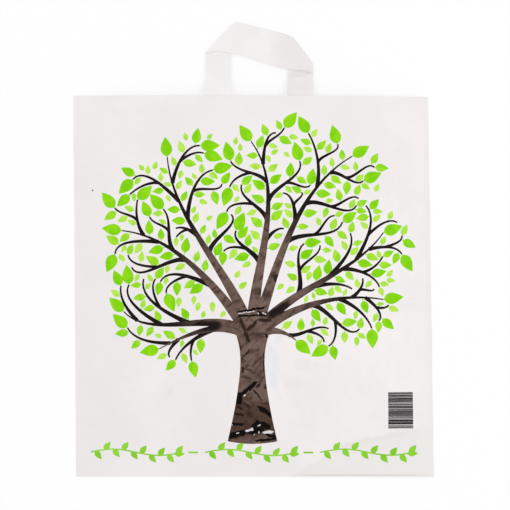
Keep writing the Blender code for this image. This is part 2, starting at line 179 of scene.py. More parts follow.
def colour_mix(tree, share, first, second):
    made = add_node(tree, "Mix", data_type="RGBA")
    wanted = {"Factor_Float": share, "A_Color": first, "B_Color": second}
    for socket in made.inputs:
        if socket.identifier in wanted:
            connect(tree, wanted[socket.identifier], socket)
    return next(s for s in made.outputs if s.identifier == "Result_Color")


def layered(tree, colour, layers):
    """A colour with others over it, each with its own mask."""
    for mask, tone in layers:
        colour = colour_mix(tree, mask, colour, tone)
    return colour


def parts(tree, vector):
    """A vector's outputs X, Y and Z."""
    return add_node(tree, "SeparateXYZ", {"Vector": vector}).outputs


def noise_at(tree, place, size, detail, roughness=0.5):
    values = {"Vector": place, "Scale": size, "Detail": detail, "Roughness": roughness}
    return add_node(tree, "TexNoise", values).outputs


def object_place(tree):
    """Coordinates that stay on the surface, in metres."""
    return add_node(tree, "TexCoord").outputs["Object"]


def new_group(name, inputs, outputs):
    """An empty shader group, and the nodes that hold its inputs and outputs."""
    tree = bpy.data.node_groups.new(name, "ShaderNodeTree")
    for label, kind, value in inputs:
        socket = tree.interface.new_socket(label, in_out="INPUT", socket_type="NodeSocket" + kind)
        socket.default_value = value
    for label, kind in outputs:
        tree.interface.new_socket(label, in_out="OUTPUT", socket_type="NodeSocket" + kind)
    return tree, tree.nodes.new("NodeGroupInput").outputs, tree.nodes.new("NodeGroupOutput").inputs


def place_group(tree, group, inputs):
    return add_node(tree, "Group", inputs, node_tree=group).outputs


# %% [markdown]
# Blown film is never quite flat. It holds a fine crackle of small folds, and a broad cloudiness where the
# sheet is a little thicker or thinner. The first group gives the height of the crackle, for a Bump node. The
# second drifts between two tones.

# %% Crackle and cloud


def build_crackle():
    tree, given, made = new_group("film crackle", [("Size", "Float", 60.0)], [("Height", "Float")])
    place, size = object_place(tree), given["Size"]
    bend = noise_at(tree, place, calc(tree, "MULTIPLY", size, 0.5), 2.0)["Color"]
    bent = vector_calc(tree, "ADD", place, vector_calc(tree, "SCALE", bend, 0.02))
    facets = add_node(tree, "TexVoronoi", {"Vector": bent, "Scale": size}, feature="DISTANCE_TO_EDGE")
    ridge = calc(tree, "MINIMUM", calc(tree, "MULTIPLY", facets.outputs["Distance"], 3.0), 1.0)
    soft = noise_at(tree, place, calc(tree, "MULTIPLY", size, 0.4), 4.0)["Fac"]
    tree.links.new(calc(tree, "ADD", calc(tree, "MULTIPLY", ridge, 0.3), soft), made["Height"])
    return tree


def build_cloud():
    inputs = [("Light", "Color", (1, 1, 1, 1)), ("Dark", "Color", (0, 0, 0, 1)), ("Size", "Float", 14.0)]
    tree, given, made = new_group("slow cloud", inputs, [("Color", "Color")])
    cloud = noise_at(tree, object_place(tree), given["Size"], 3.0, 0.55)["Fac"]
    share = ramp(tree, cloud, 0.32, 0.68)
    tree.links.new(colour_mix(tree, share, given["Dark"], given["Light"]), made["Color"])
    return tree


CRACKLE = build_crackle()
CLOUD = build_cloud()
print("shader groups:", CRACKLE.name, "and", CLOUD.name)

# %% [markdown]
# One hard crease in printed film reads as a short straight band with ragged ends, dark with painted shade. The
# third group draws such a band from its middle, angle, half length, half width and softness, as a mask. The
# ragged place that it measures in is worked out once for many bands, so that they cost little.

# %% Ragged places and the crease band


def build_band():
    inputs = [("Place", "Vector", (0, 0, 0)), ("Middle", "Vector", (0, 0, 0)), ("Angle", "Float", 0.0),
              ("Half Length", "Float", 0.02), ("Half Width", "Float", 0.002), ("Softness", "Float", 0.25)]
    tree, given, made = new_group("crease band", inputs, [("Mask", "Float")])
    back = calc(tree, "MULTIPLY", given["Angle"], -1.0)
    around = {"Vector": given["Place"], "Center": given["Middle"], "Angle": back}
    turned = add_node(tree, "VectorRotate", around, rotation_type="Z_AXIS")
    apart = parts(tree, vector_calc(tree, "SUBTRACT", turned.outputs[0], given["Middle"]))
    along = calc(tree, "DIVIDE", calc(tree, "ABSOLUTE", apart["X"]), given["Half Length"])
    beside = calc(tree, "DIVIDE", calc(tree, "ABSOLUTE", apart["Y"]), given["Half Width"])
    reach = calc(tree, "ADD", calc(tree, "POWER", along, 4.0), calc(tree, "POWER", beside, 2.0))
    inside, outside = (calc(tree, way, 1.0, given["Softness"]) for way in ("SUBTRACT", "ADD"))
    tree.links.new(ramp(tree, reach, inside, outside, 1.0, 0.0), made["Mask"])
    return tree


def ragged_place(tree, size, far):
    """Object coordinates shaken by a fine noise, so that a band drawn in them has ragged edges."""
    place = object_place(tree)
    shake = noise_at(tree, place, size, 3.0, 0.65)["Color"]
    centred = vector_calc(tree, "SUBTRACT", shake, (0.5, 0.5, 0.5))
    return vector_calc(tree, "ADD", place, vector_calc(tree, "SCALE", centred, far))


def bands(tree, place, rows):
    """The strongest of some bands, each with its two ends, half width, tone and softness."""
    masks = []
    for x0, y0, x1, y1, half_width, tone, softness in rows:
        values = {"Place": place, "Middle": in_frame((x0 + x1) / 2, (y0 + y1) / 2),
                  "Angle": math.atan2(y1 - y0, x1 - x0), "Half Length": math.dist((x0, y0), (x1, y1)) / 2,
                  "Half Width": half_width, "Softness": softness}
        masks.append(calc(tree, "MULTIPLY", place_group(tree, BAND, values)["Mask"], tone))
    return strongest(tree, masks)


BAND = build_band()
print("shader group:", BAND.name)

# %% [markdown]
# ## Materials
# Each finish is a Principled BSDF with the film's gloss. The crackle feeds a Bump node and the roughness, so
# that the sheet catches the light unevenly, as thin polythene does.

# %% One film finish
CRACKLE_SIZE = 70.0


def film_finish(name, colour, roughness, bump, gloss):
    """A material whose colour comes from colour(tree), with the film's crackle in its normal."""
    made = bpy.data.materials.new(name)
    made.use_nodes = True
    tree = made.node_tree
    shader = tree.nodes["Principled BSDF"]
    height = place_group(tree, CRACKLE, {"Size": CRACKLE_SIZE})["Height"]
    raised = add_node(tree, "Bump", {"Strength": bump, "Distance": 0.001, "Height": height})
    uneven = ramp(tree, height, 0.3, 1.0, roughness - 0.06, roughness + 0.08)
    for label, value in (("Specular IOR Level", gloss), ("Base Color", colour(tree)),
                         ("Normal", raised.outputs["Normal"]), ("Roughness", uneven)):
        connect(tree, value, shader.inputs[label])
    return made


def cloudy(tree, light, dark, size):
    """A colour that drifts between two tones over the sheet."""
    return place_group(tree, CLOUD, {"Light": (*light, 1), "Dark": (*dark, 1), "Size": size})["Color"]


print("crackle size", CRACKLE_SIZE)

# %% [markdown]
# The white film has two faint tones. Over them lies painted shade, which makes it greyer beyond the fold at
# the lower right corner, along its sides and in a few crinkled patches. A thin painted shadow line lies where
# the layers part at the bottom, and beside the trunk a bluish painted shade stands for the crinkles there. A
# small dark fleck sits near the left edge.

# %% White film
FOLD_LINE = ((0.044, 0.001), (0.104, 0.040), (0.160, 0.0526), (0.202, 0.060))
FOLD_SIDES = []
# Painted shade beyond the fold fades in over this distance from the fold line.
FOLD_BLUR = (-0.001, 0.003)
# Painted shade along the left and right sides grows from nothing to SIDE_SHADE over these runs across.
LEFT_SIDE_SHADE_RUN = (-0.110, -0.205)
RIGHT_SIDE_SHADE_RUN = (0.150, 0.205)
SIDE_SHADE = 0.30
FOLD_SHADE = 0.60
FILM_LIGHT = (0.885, 0.838, 0.836)
FILM_DARK = (0.842, 0.800, 0.801)
# The grey of the painted shade on the film.
FILM_PAINTED_SHADE = (0.785, 0.760, 0.742, 1)
# A bluish painted shade, for the crinkles beside the trunk.
FILM_BLUE_SHADE = (0.775, 0.785, 0.840, 1)
# Colour of a painted shadow line where the front and back layers part at the bottom.
PARTING_SHADOW_GREY = (0.42, 0.41, 0.40, 1)
FLECK_TONE = (0.03, 0.03, 0.03, 1)
# Bands of bluish painted shade where the film is crinkled beside the trunk.
BLUE_CRINKLE_SHADE = in_metres([(22.5, 151, 23.5, 100, 6.2, 0.80, 0.7), (36, 172, 25, 150, 4.5, 0.70, 0.7),
                        (-24, 120, -27, 85, 3, 0.35, 0.7)])
# Painted shade in a few patches of crinkled film.
SHADE_PATCHES = in_metres([(47, 128, 73, 126, 5.5, 0.55, 0.8), (37, 107, 56, 106, 4.8, 0.35, 0.8),
                        (-100, 88, -88, 104, 3, 0.45, 0.8), (168, 70, 172, 100, 8, 0.30, 0.8)])
# The painted shadow line along the bottom.
PARTING_SHADOW = in_metres([(50, 1.9, 196.5, 2.2, 0.8, 0.35, 0.9)])
FLECK = in_metres([(-181.4, 323.5, -179.6, 323.5, 0.9, 1.0, 0.25)])

for (x0, y0), (x1, y1) in zip(FOLD_LINE, FOLD_LINE[1:]):
    length = math.dist((x0, y0), (x1, y1))
    across, up = (y1 - y0) / length, (x0 - x1) / length
    FOLD_SIDES.append((across, up, x0 * across + y0 * up))


def beyond_fold(tree, place):
    """How far a place lies to the lower right of the fold, in metres."""
    apart, depths = parts(tree, place), []
    for across, up, start in FOLD_SIDES:
        far = calc(tree, "MULTIPLY_ADD", apart["Y"], up, -start - BOTTOM_EDGE * up)
        depths.append(calc(tree, "MULTIPLY_ADD", apart["X"], across, far))
    return calc(tree, "MINIMUM", calc(tree, "MINIMUM", *depths[:2]), depths[2])


def film_colour(tree):
    place = ragged_place(tree, 40.0, 0.010)
    across = parts(tree, place)["X"]
    # Painted shade: in patches, beyond the fold and along both sides.
    painted_shade = [bands(tree, place, SHADE_PATCHES), ramp(tree, beyond_fold(tree, place), *FOLD_BLUR, 0.0, FOLD_SHADE)]
    painted_shade += [ramp(tree, across, *run, 0.0, SIDE_SHADE) for run in (LEFT_SIDE_SHADE_RUN, RIGHT_SIDE_SHADE_RUN)]
    # A painted shadow line where the layers part at the bottom.
    parting_shadow = bands(tree, ragged_place(tree, 60.0, 0.0012), PARTING_SHADOW)
    fleck = bands(tree, object_place(tree), FLECK)
    # The bluish painted shade goes first, then the grey painted shade, the painted shadow line and the fleck.
    return layered(tree, cloudy(tree, FILM_LIGHT, FILM_DARK, 11.0), (
        (bands(tree, place, BLUE_CRINKLE_SHADE), FILM_BLUE_SHADE), (strongest(tree, painted_shade), FILM_PAINTED_SHADE),
        (parting_shadow, PARTING_SHADOW_GREY), (fleck, FLECK_TONE)))


white_film = film_finish("white film", film_colour, 0.42, 0.20, 0.5)
print("material:", white_film.name)

# %% [markdown]
# The straps are of the same plastic, folded double, and a little whiter. Painted shade makes a strap greyer
# towards its right end, and a painted shadow makes it greyest just under the right end of the bridge.

# %% Strap film
STRAP_LIGHT = (0.884, 0.862, 0.862)
STRAP_DARK = (0.852, 0.826, 0.828)
# Grey of the painted shade and painted shadow on the straps.
STRAP_PAINTED_SHADE = (0.765, 0.716, 0.708, 1)
# Painted shade grows across this run of x, towards the strap's right end.
STRAP_SHADE_RUN = (0.016, 0.036)
STRAP_SHADE = 0.42
# A painted shadow on the right leg, just under the bridge.
STRAP_SHADOW_BAND = in_metres([(42, 454, 66, 458, 4.5, 0.85, 0.25)])


def strap_colour(tree):
    # Painted shade towards the right end of the strap.
    turned = ramp(tree, parts(tree, object_place(tree))["X"], *STRAP_SHADE_RUN, 0.0, STRAP_SHADE)
    # A painted shadow just under the right end of the bridge.
    layers = bands(tree, ragged_place(tree, 60.0, 0.004), STRAP_SHADOW_BAND)
    light = cloudy(tree, STRAP_LIGHT, STRAP_DARK, 34.0)
    return colour_mix(tree, strongest(tree, (turned, layers)), light, STRAP_PAINTED_SHADE)


strap_film = film_finish("strap film", strap_colour, 0.42, 0.22, 0.5)
print("material:", strap_film.name)

# %% [markdown]
# The brown ink is broken by creases, most of them across the trunk. Each is a line from one end to the other
# with a half width, in millimetres. Their shade is painted into the ink: black in the hard ones, brown in the
# soft and faint ones, and two soft black bands of painted shade cross limbs. The same lists will dent the
# film, so that the painted dark bands lie in real folds. Inside the strongest folds a white glint is painted
# in, a painted highlight on a small real ridge.

# %% Creases across the trunk
HARD_CREASES = in_metres((
    (-18.5, 186.5, 4, 190, 1.2), (3.5, 190, 13.5, 191.5, 1.5), (-17, 182, 2.5, 183, 1.2),
    (0.5, 182.5, 16, 183.5, 1.4), (3.5, 187.5, 15, 184.5, 1.3), (14, 160, 16.5, 160.5, 2.4),
    (-12.5, 93.5, 5.5, 109, 2.3), (-15, 97.5, -15, 83, 4.2), (6, 81, 24, 68.5, 2.5),
    (-24.5, 61, -9.5, 60.5, 1.6), (-29, 46, -7.5, 51.5, 4), (-7.5, 52, 14, 55, 3.8),
    (-0.5, 56, 7.5, 65, 2.6), (7.5, 62.5, 20.5, 56, 3), (13.5, 48.5, 29, 46, 1.9),
    (25, 57, 28.5, 47, 2.4), (3, 41, 29, 44, 1.5)))
SOFT_CREASES = in_metres((
    (5.5, 177.5, -6.5, 165.5, 1.8), (6, 177.5, 22.5, 178, 2.1), (-14.5, 180, -7.5, 165, 1.9),
    (-8.5, 166, -4, 152.5, 2), (-12.5, 134, -2.5, 146, 1.1), (-11.5, 125.5, -11, 118, 1.8),
    (12.5, 141.5, 13, 119, 0.9), (1, 100, 11, 87, 1), (4.5, 102.5, 9.5, 106.5, 1.5),
    (13.5, 100, 16.5, 105.5, 1.4), (-21.5, 73, -9, 71, 1.8), (-18.5, 80.5, -11, 77.5, 1.3),
    (24, 222.5, 32, 227, 4.8)))
FAINT_CREASES = in_metres((
    (-5.5, 161.5, 15.5, 162.5, 1.8), (2, 211, 20, 206.5, 4.5), (-16.5, 156, -12.5, 143.5, 1.4),
    (0.5, 124.5, 4.5, 133.5, 1.3), (-13, 114.5, -1.5, 111.5, 1.2), (8.5, 85, 19.5, 83, 1.2),
    (-6.5, 75, 1, 68.5, 3), (-11.5, 87.5, -2, 77.5, 1.9)))
# Two bands of painted shade that cross limbs.
LIMB_CREASES = in_metres(((17.5, 182, 42, 196.5, 5), (-66, 170.5, -34.5, 172, 5.8)))
# Painted highlights: white glints in the strongest folds, each also a small ridge in the film.
GLINTS = in_metres((
    (-17, 184.5, -7.5, 186.2, 0.4), (-8, 186.6, 2.5, 188, 0.4), (5.5, 186, 6.5, 183, 0.5),
    (10, 186, 15, 184.5, 0.6), (-8, 52.5, 1, 55.5, 1.4), (11, 50.5, 24, 52.5, 1.6),
    (6, 59, 9, 60, 0.7), (-19, 49, -15, 50, 0.6), (-9.5, 93, -8, 93.5, 0.8),
    (-23, 60, -21.5, 60, 0.5), (1, 49.5, 3.5, 50.5, 0.5), (6.5, 50, 7.5, 52, 0.5)))


def toned(lines, tone, softness):
    """Lines with a depth of tone and a softness each, as bands() draws them."""
    return [(*line, tone, softness) for line in lines]


# Painted crease shade: black in the hard creases and on two limbs, brown in the soft and faint ones.
BLACK_MARKS = toned(HARD_CREASES, 1.0, 0.3) + toned(LIMB_CREASES, 0.92, 0.8)
BROWN_MARKS = toned(SOFT_CREASES, 0.9, 0.7) + toned(FAINT_CREASES, 0.6, 0.9)
print(len(BLACK_MARKS), "black creases,", len(BROWN_MARKS), "brown ones and", len(GLINTS), "glints")

# %% [markdown]
# The trunk and the roots of the main limbs are one warm grey brown, with soft dark streaks that run aslant.
# They crowd together low on the trunk and make it browner there. The limbs turn nearly black on their way
# out, and the twigs are that black. Each leaf drifts between two greens, and the larger ones are deeper. Ink
# is less glossy than the bare film.

# %% Inks
BARK_LIGHT = (0.188, 0.126, 0.104)
BARK_DARK = (0.130, 0.083, 0.067)
BARK_FOOT = (0.066, 0.037, 0.025, 1)
BARK_OUT = (0.012, 0.008, 0.007, 1)
STREAK_TONE = (0.040, 0.020, 0.013, 1)
# Brown painted shade in the soft and faint creases.
CREASE_SHADE_BROWN = (0.018, 0.009, 0.006, 1)
# Black painted shade in the hard creases and across two limbs.
CREASE_SHADE_BLACK = (0.004, 0.002, 0.002, 1)
# Colour of the painted highlights in the creases.
PAINTED_GLINT_TONE = (0.74, 0.67, 0.70, 1)
FORK = (0.002, 0.215)
OUT_RUN, OUT_ABOVE = (0.045, 0.105), (0.150, 0.165)
FOOT_TOP, FOOT_LOW = (0.094, 0.078), (0.043, 0.052)
FOOT_SHADE, STREAK_SHADE = 0.85, 0.72
STREAKS = ((42, 210.0, 0.48, 0.68), (-25, 170.0, 0.53, 0.71))
INK_GLOSS = 0.05


def streaks(tree, degrees, size, low, high):
    """Soft streaks that run at an angle to the bag's width."""
    turned = add_node(tree, "VectorRotate", {"Vector": object_place(tree), "Angle": -math.radians(degrees)},
                      rotation_type="Z_AXIS")
    stretched = vector_calc(tree, "MULTIPLY", turned.outputs[0], (0.35, 1.0, 1.0))
    return ramp(tree, noise_at(tree, stretched, size, 3.0, 0.55)["Fac"], low, high)


def bark_colour(tree):
    place = ragged_place(tree, 150.0, 0.0055)
    height = calc(tree, "SUBTRACT", parts(tree, place)["Y"], BOTTOM_EDGE)
    foot = calc(tree, "MULTIPLY", ramp(tree, height, *FOOT_TOP), ramp(tree, height, *FOOT_LOW))
    lines = strongest(tree, [streaks(tree, *kind) for kind in STREAKS])
    far = add_node(tree, "VectorMath", {0: place, 1: in_frame(*FORK)}, operation="DISTANCE").outputs["Value"]
    out = calc(tree, "MULTIPLY", ramp(tree, far, *OUT_RUN), ramp(tree, height, *OUT_ABOVE))
    # Over the ink go painted shade in the creases, brown and then black, and last the painted highlights of
    # the glints.
    return layered(tree, cloudy(tree, BARK_LIGHT, BARK_DARK, 60.0), (
        (calc(tree, "MULTIPLY", foot, FOOT_SHADE), BARK_FOOT),
        (calc(tree, "MULTIPLY", lines, STREAK_SHADE), STREAK_TONE), (out, BARK_OUT),
        (bands(tree, place, BROWN_MARKS), CREASE_SHADE_BROWN), (bands(tree, place, BLACK_MARKS), CREASE_SHADE_BLACK),
        (bands(tree, place, toned(GLINTS, 1.0, 0.25)), PAINTED_GLINT_TONE)))


def ink(name, light, dark, size):
    return film_finish(name, lambda tree: cloudy(tree, light, dark, size), 0.42, 0.15, INK_GLOSS)


bark_ink = film_finish("bark ink", bark_colour, 0.38, 0.15, INK_GLOSS)
twig_ink = ink("twig ink", (0.016, 0.011, 0.009), (0.006, 0.004, 0.004), 60.0)
leaf_inks = [ink("leaf ink deep", (0.290, 0.720, 0.008), (0.205, 0.630, 0.003), 90.0),
             ink("leaf ink middle", (0.400, 0.770, 0.035), (0.235, 0.670, 0.012), 90.0),
             ink("leaf ink light", (0.520, 0.830, 0.100), (0.350, 0.740, 0.045), 90.0)]
border_ink = ink("border ink", (0.30, 0.68, 0.045), (0.21, 0.58, 0.018), 30.0)
bar_ink = ink("bar ink", (0.016, 0.015, 0.016), (0.008, 0.008, 0.009), 60.0)
print("inks:", bark_ink.name, twig_ink.name, *(ink.name for ink in leaf_inks), border_ink.name, bar_ink.name)

# %% [markdown]
# ## The drawing
# The print shows a common leafy tree. It is grown by a few rules rather than copied: nine limbs fan out of
# the trunk, twigs leave them on both sides, and leaves fill what room is left. The seed is fixed, so it grows
# in the same way each time, and it matches the plainer drawing on the solids.

# %% Sizes of the drawing
TRUNK_FOOT_Y = 0.041
TRUNK_FOOT_WIDTH = 0.056
TRUNK_FOOT_ROUND = 0.003
TRUNK_WAIST_Y = 0.130
TRUNK_WAIST_WIDTH = 0.027
TRUNK_FORK_Y = 0.176
TRUNK_FORK_WIDTH = 0.050
CROWN_SIDE = 0.016
CROWN_TOP = 0.014
CROWN_LOW = 0.104
CROWN_CLEAR_TRUNK = 0.045
CROWN_ROUND = 2.25
BOUGHS = 9
BOUGH_SPREAD = math.radians(104)
BOUGH_WIDTH = 0.0135
BOUGH_ROOT_DROP = 0.012
BOUGH_SHORTEST = 0.040
BOUGH_INSET = 0.018
TWIG_WIDTH = 0.0042
TWIG_LENGTH = 0.062
TWIG_END_INSET = 0.014
TWIG_INSET = 0.008
TWIG_TRIALS = 14
SPRIG_LENGTH = 0.034
TIP_WIDTH = 0.0013
LEAF_LENGTH = 0.0165
LEAF_SMALL = 0.0105
LEAF_FATNESS = 0.29
LEAF_PITCH = 0.0078
STALK_WIDTH = 0.0009
STALK_SHORT = 0.0010
STALK_LONG = 0.0025
END_STALK = 0.0005
PRINT_CLEARANCE = 0.001
LOOSE_TRIALS = 1500
LOOSE_LENGTH = (0.0085, 0.0125)
LOOSE_INSET = 0.014
LAYOUT_PITCH = 0.002
SEED = 2
print("trunk foot", TRUNK_FOOT_WIDTH * 1000, "mm wide,", BOUGHS, "boughs")

# %% [markdown]
# A limb is one bent line, wide at its root and thin at its tip. A leaf is a pointed oval on a short stalk.
# Both can say which discs of paper they cover, which is how the next ones find room.

# %% Limbs and leaves


def step(point, heading, far, aside=0.0):
    """The point some way from another. A heading turns clockwise from straight up the bag."""
    s, c = math.sin(heading), math.cos(heading)
    return point[0] + s * far + c * aside, point[1] + c * far - s * aside


class Branch:
    """A limb of the drawing: one bend from start to end, wide at its root and thin at its tip."""

    def __init__(self, start, leaving, end, arriving, wide, parent=None):
        self.start, self.end, self.wide, self.parent = start, end, wide, parent
        self.length = math.dist(start, end)
        self.out, self.come = (step((0, 0), heading, self.length) for heading in (leaving, arriving))

    def at(self, t):
        a, b = 2 * t**3 - 3 * t**2 + 1, t**3 - 2 * t**2 + t
        c, d = 3 * t**2 - 2 * t**3, t**3 - t**2
        ends = zip(self.start, self.out, self.end, self.come)
        return tuple(a * p + b * u + c * q + d * v for p, u, q, v in ends)

    def heading(self, t):
        (x0, y0), (x1, y1) = self.at(max(0.0, t - 0.02)), self.at(min(1.0, t + 0.02))
        return math.atan2(x1 - x0, y1 - y0)

    def width(self, t):
        return TIP_WIDTH + (self.wide - TIP_WIDTH) * (1 - t) ** 1.35

    def discs(self, first=0.0):
        count = max(4, round(self.length / (1.5 * LAYOUT_PITCH)))
        return [(*self.at(t), self.width(t) / 2) for t in spread(first, 1, count)]


class Leaf:
    """A pointed oval leaf on a short stalk."""

    def __init__(self, limb, t, heading, stalk, length):
        self.limb, self.t, self.heading, self.length = limb, t, heading, length
        self.move_to(step(limb.at(t), heading, stalk))

    def move_to(self, base):
        self.base, self.tip = base, step(base, self.heading, self.length)
        return self

    def along(self, t, aside=0.0):
        return step(self.base, self.heading, self.length * t, aside)

    def half(self, t):
        return self.length * LEAF_FATNESS * math.sin(math.pi * t**0.8) ** 0.9 * (1.12 - 0.3 * t)

    def outline(self, steps):
        shares = spread(0, 1, steps)[1:-1]
        right = [self.along(t, self.half(t)) for t in shares]
        left = [self.along(t, -self.half(t)) for t in shares[::-1]]
        return [self.base] + right + [self.tip] + left

    def discs(self):
        shares = ((0.15, 0.13), (0.4, 0.25), (0.65, 0.2), (0.9, 0.07))
        return [(*self.along(t), self.length * r) for t, r in shares]


class Room:
    """The discs already taken on the print, kept in square cells so that a test is quick."""

    CELL = 15 * LAYOUT_PITCH

    def __init__(self):
        self.cells = defaultdict(list)

    def cell(self, x, y):
        return math.floor(x / self.CELL), math.floor(y / self.CELL)

    def take(self, discs, owner=None):
        for x, y, r in discs:
            self.cells[self.cell(x, y)].append((x, y, r, owner))

    def free(self, discs, gap, but=None):
        for x, y, r in discs:
            column, row = self.cell(x, y)
            for i in (column - 1, column, column + 1):
                for j in (row - 1, row, row + 1):
                    for ox, oy, taken, owner in self.cells.get((i, j), ()):
                        near = (x - ox) ** 2 + (y - oy) ** 2 < (r + taken + gap) ** 2
                        if near and (but is None or owner is not but):
                            return False
        return True


print("room is kept in cells of", Room.CELL * 1000, "mm")

# %% [markdown]
# The crown is a full round shape that stays clear of the trunk. Limbs stop short of its edge, and each twig or
# leaf is tried a few times, smaller or turned, until it has room. One that finds none is left out. Last, small
# loose leaves fill the gaps.

# %% Growing the tree


def in_crown(x, y, inset=0.0):
    side = BAG_WIDTH / 2 - CROWN_SIDE - inset
    top, low = BAG_HEIGHT - CROWN_TOP - inset, CROWN_LOW + inset
    middle = low + (top - low) * 0.47
    up = top - middle if y > middle else middle - low
    beside = abs(x) > CROWN_CLEAR_TRUNK + (TRUNK_FORK_Y - y) * 0.25
    round_part = abs(x / side) ** CROWN_ROUND + abs((y - middle) / up) ** CROWN_ROUND <= 1
    return round_part and (y > TRUNK_FORK_Y or beside)


def grow_boughs(rng):
    boughs = []
    for k in range(BOUGHS):
        share = 2 * k / (BOUGHS - 1) - 1
        aim = share * BOUGH_SPREAD + math.radians(rng.uniform(-3, 3))
        start = (share * TRUNK_WAIST_WIDTH * 0.4, TRUNK_FORK_Y - BOUGH_ROOT_DROP)
        far = BOUGH_SHORTEST
        while in_crown(*step(start, aim, far), BOUGH_INSET):
            far += LAYOUT_PITCH
        far *= rng.uniform(0.86, 0.98)
        bend = math.radians(rng.uniform(16, 44)) * (1 if k % 2 else -1)
        if abs(share) > 0.8:
            bend = math.copysign(bend, share)
        wide = BOUGH_WIDTH * (1.15 - 0.25 * abs(share))
        boughs.append(Branch(start, aim * 0.66, step(start, aim, far), aim + bend, wide))
    return boughs


def shoot(rng, room, parent, t, side, length, wide):
    """A twig from a limb, tried at falling lengths until it has room, or None."""
    root = parent.at(t)
    for trial in range(TWIG_TRIALS):
        turn = math.radians(rng.uniform(32, 62)) * side
        aim = parent.heading(t) + turn
        end = step(root, aim, length * rng.uniform(0.75, 1.15) * (1 - trial * 0.045))
        if not in_crown(*end, TWIG_END_INSET):
            continue
        curl = math.radians(rng.uniform(20, 75)) * (side if rng.random() < 0.6 else -side)
        twig = Branch(root, parent.heading(t) + turn * 0.55, end, aim + curl, wide, parent)
        inside = all(in_crown(*twig.at(q), TWIG_INSET) for q in spread(0, 1, 5)[1:])
        if inside and room.free(twig.discs(0.3), 4 * PRINT_CLEARANCE, parent):
            room.take(twig.discs(0.12), twig)
            return twig
    return None


def grow_twigs(rng, room, parents, places, length, wide):
    found = []
    side = 1
    for parent in parents:
        for t in places:
            side = -side
            root_width = max(wide * (1.3 - 0.6 * t), parent.width(t) * 0.55)
            found.append(shoot(rng, room, parent, t, side, length * (1.25 - 0.5 * t), root_width))
    return [twig for twig in found if twig]


def fit_leaf(room, limb, t, heading, stalk, lengths, lean, owner=None):
    """A leaf at the first length, as it stands or leaning to a side, that has room, or None."""
    for length in lengths:
        for turn in (0, 1, -1, 2, -2):
            leaf = Leaf(limb, t, heading + lean * turn, stalk, length)
            if in_crown(*leaf.tip) and room.free(leaf.discs(), PRINT_CLEARANCE, owner):
                room.take(leaf.discs())
                return leaf
    return None


def end_leaf(room, limb):
    """The larger leaf at a limb's tip."""
    lengths = [LEAF_LENGTH * share for share in (1.35, 1.15, 0.95, 0.8, 0.65)]
    return fit_leaf(room, limb, 1.0, limb.heading(1.0), END_STALK, lengths, 0.3, limb)


def side_leaf(rng, room, limb, t, side):
    heading = limb.heading(t) + side * math.radians(rng.uniform(42, 68))
    stalk = limb.width(t) * 0.65 + rng.uniform(STALK_SHORT, STALK_LONG)
    length = rng.uniform(LEAF_SMALL, LEAF_LENGTH * 1.1)
    lengths = [length * share for share in (1.0, 0.86, 0.72, 0.6) if length * share >= LEAF_SMALL * 0.75]
    return fit_leaf(room, limb, t, heading, stalk, lengths, 0.25)


def grow_leaves(rng, room, limbs):
    leaves = [end_leaf(room, limb) for limb in limbs]
    for limb in limbs:
        first = 0.22 if limb.parent else 0.36
        count = max(2, round(limb.length * (1 - first) / LEAF_PITCH))
        for k in range(count):
            t = first + (0.96 - first) * (k + 0.5) / count
            leaves.append(side_leaf(rng, room, limb, t, 1 if k % 2 else -1))
    return [leaf for leaf in leaves if leaf]


def grow_loose_leaves(rng, room, limbs):
    """Small leaves with no stalk, where the crown still has gaps."""
    leaves = []
    for _ in range(LOOSE_TRIALS):
        away, length = rng.uniform(0.004, 0.024), rng.uniform(*LOOSE_LENGTH)
        leaf = Leaf(rng.choice(limbs), rng.uniform(0.1, 1.0), rng.uniform(0, 2 * math.pi), away, length)
        inside = in_crown(*leaf.tip, LOOSE_INSET) and in_crown(*leaf.base, LOOSE_INSET)
        if inside and room.free(leaf.discs(), 1.3 * PRINT_CLEARANCE):
            leaves.append(leaf)
            room.take(leaf.discs())
    return leaves


rng = random.Random(SEED)
room = Room()
boughs = grow_boughs(rng)
for bough in boughs:
    room.take(bough.discs(), bough)
twigs = grow_twigs(rng, room, boughs, (0.34, 0.45, 0.56, 0.66, 0.76, 0.86), TWIG_LENGTH, TWIG_WIDTH)
sprigs = grow_twigs(rng, room, twigs, (0.45,), SPRIG_LENGTH, TWIG_WIDTH * 0.6)
leaves = grow_leaves(rng, room, boughs + twigs + sprigs)
loose_leaves = grow_loose_leaves(rng, room, boughs + twigs + sprigs)
print(len(boughs), "boughs,", len(twigs), "twigs,", len(sprigs), "sprigs,", len(leaves), "leaves,",
      len(loose_leaves), "loose leaves")

# %% [markdown]
# ## Outlines of the print
# Every printed shape is now turned into flat outlines, each with a label for its ink. A limb becomes a row of
# patches that follow its bend. Limbs are drawn over leaves, as the darker ink is on the bag.

# %% Outlines of the tree
BOUGH_PATCHES = 22
TWIG_PATCHES = 13
TWIG_THICKER = 1.4
LEAF_EDGE_STEPS = 8
TRUNK_ROWS = 30
FOOT_STEPS = 16
LEAF_DEEP_FROM = 0.0160
LEAF_MIDDLE_FROM = 0.0125
LEAF_MIX = 0.0025
outlines = []


def draw(ink, shapes):
    outlines.extend((ink, shape) for shape in shapes)


def strip(points, widths):
    """Four-cornered patches that follow a line of points, each point with its own width."""
    sides = []
    for k, (x, y) in enumerate(points):
        (x0, y0), (x1, y1) = points[max(0, k - 1)], points[min(len(points) - 1, k + 1)]
        length = math.dist((x0, y0), (x1, y1))
        ax, ay = (y1 - y0) / length * widths[k] / 2, (x0 - x1) / length * widths[k] / 2
        sides.append(((x + ax, y + ay), (x - ax, y - ay)))
    return [[a, c, d, b] for (a, b), (c, d) in zip(sides, sides[1:])]


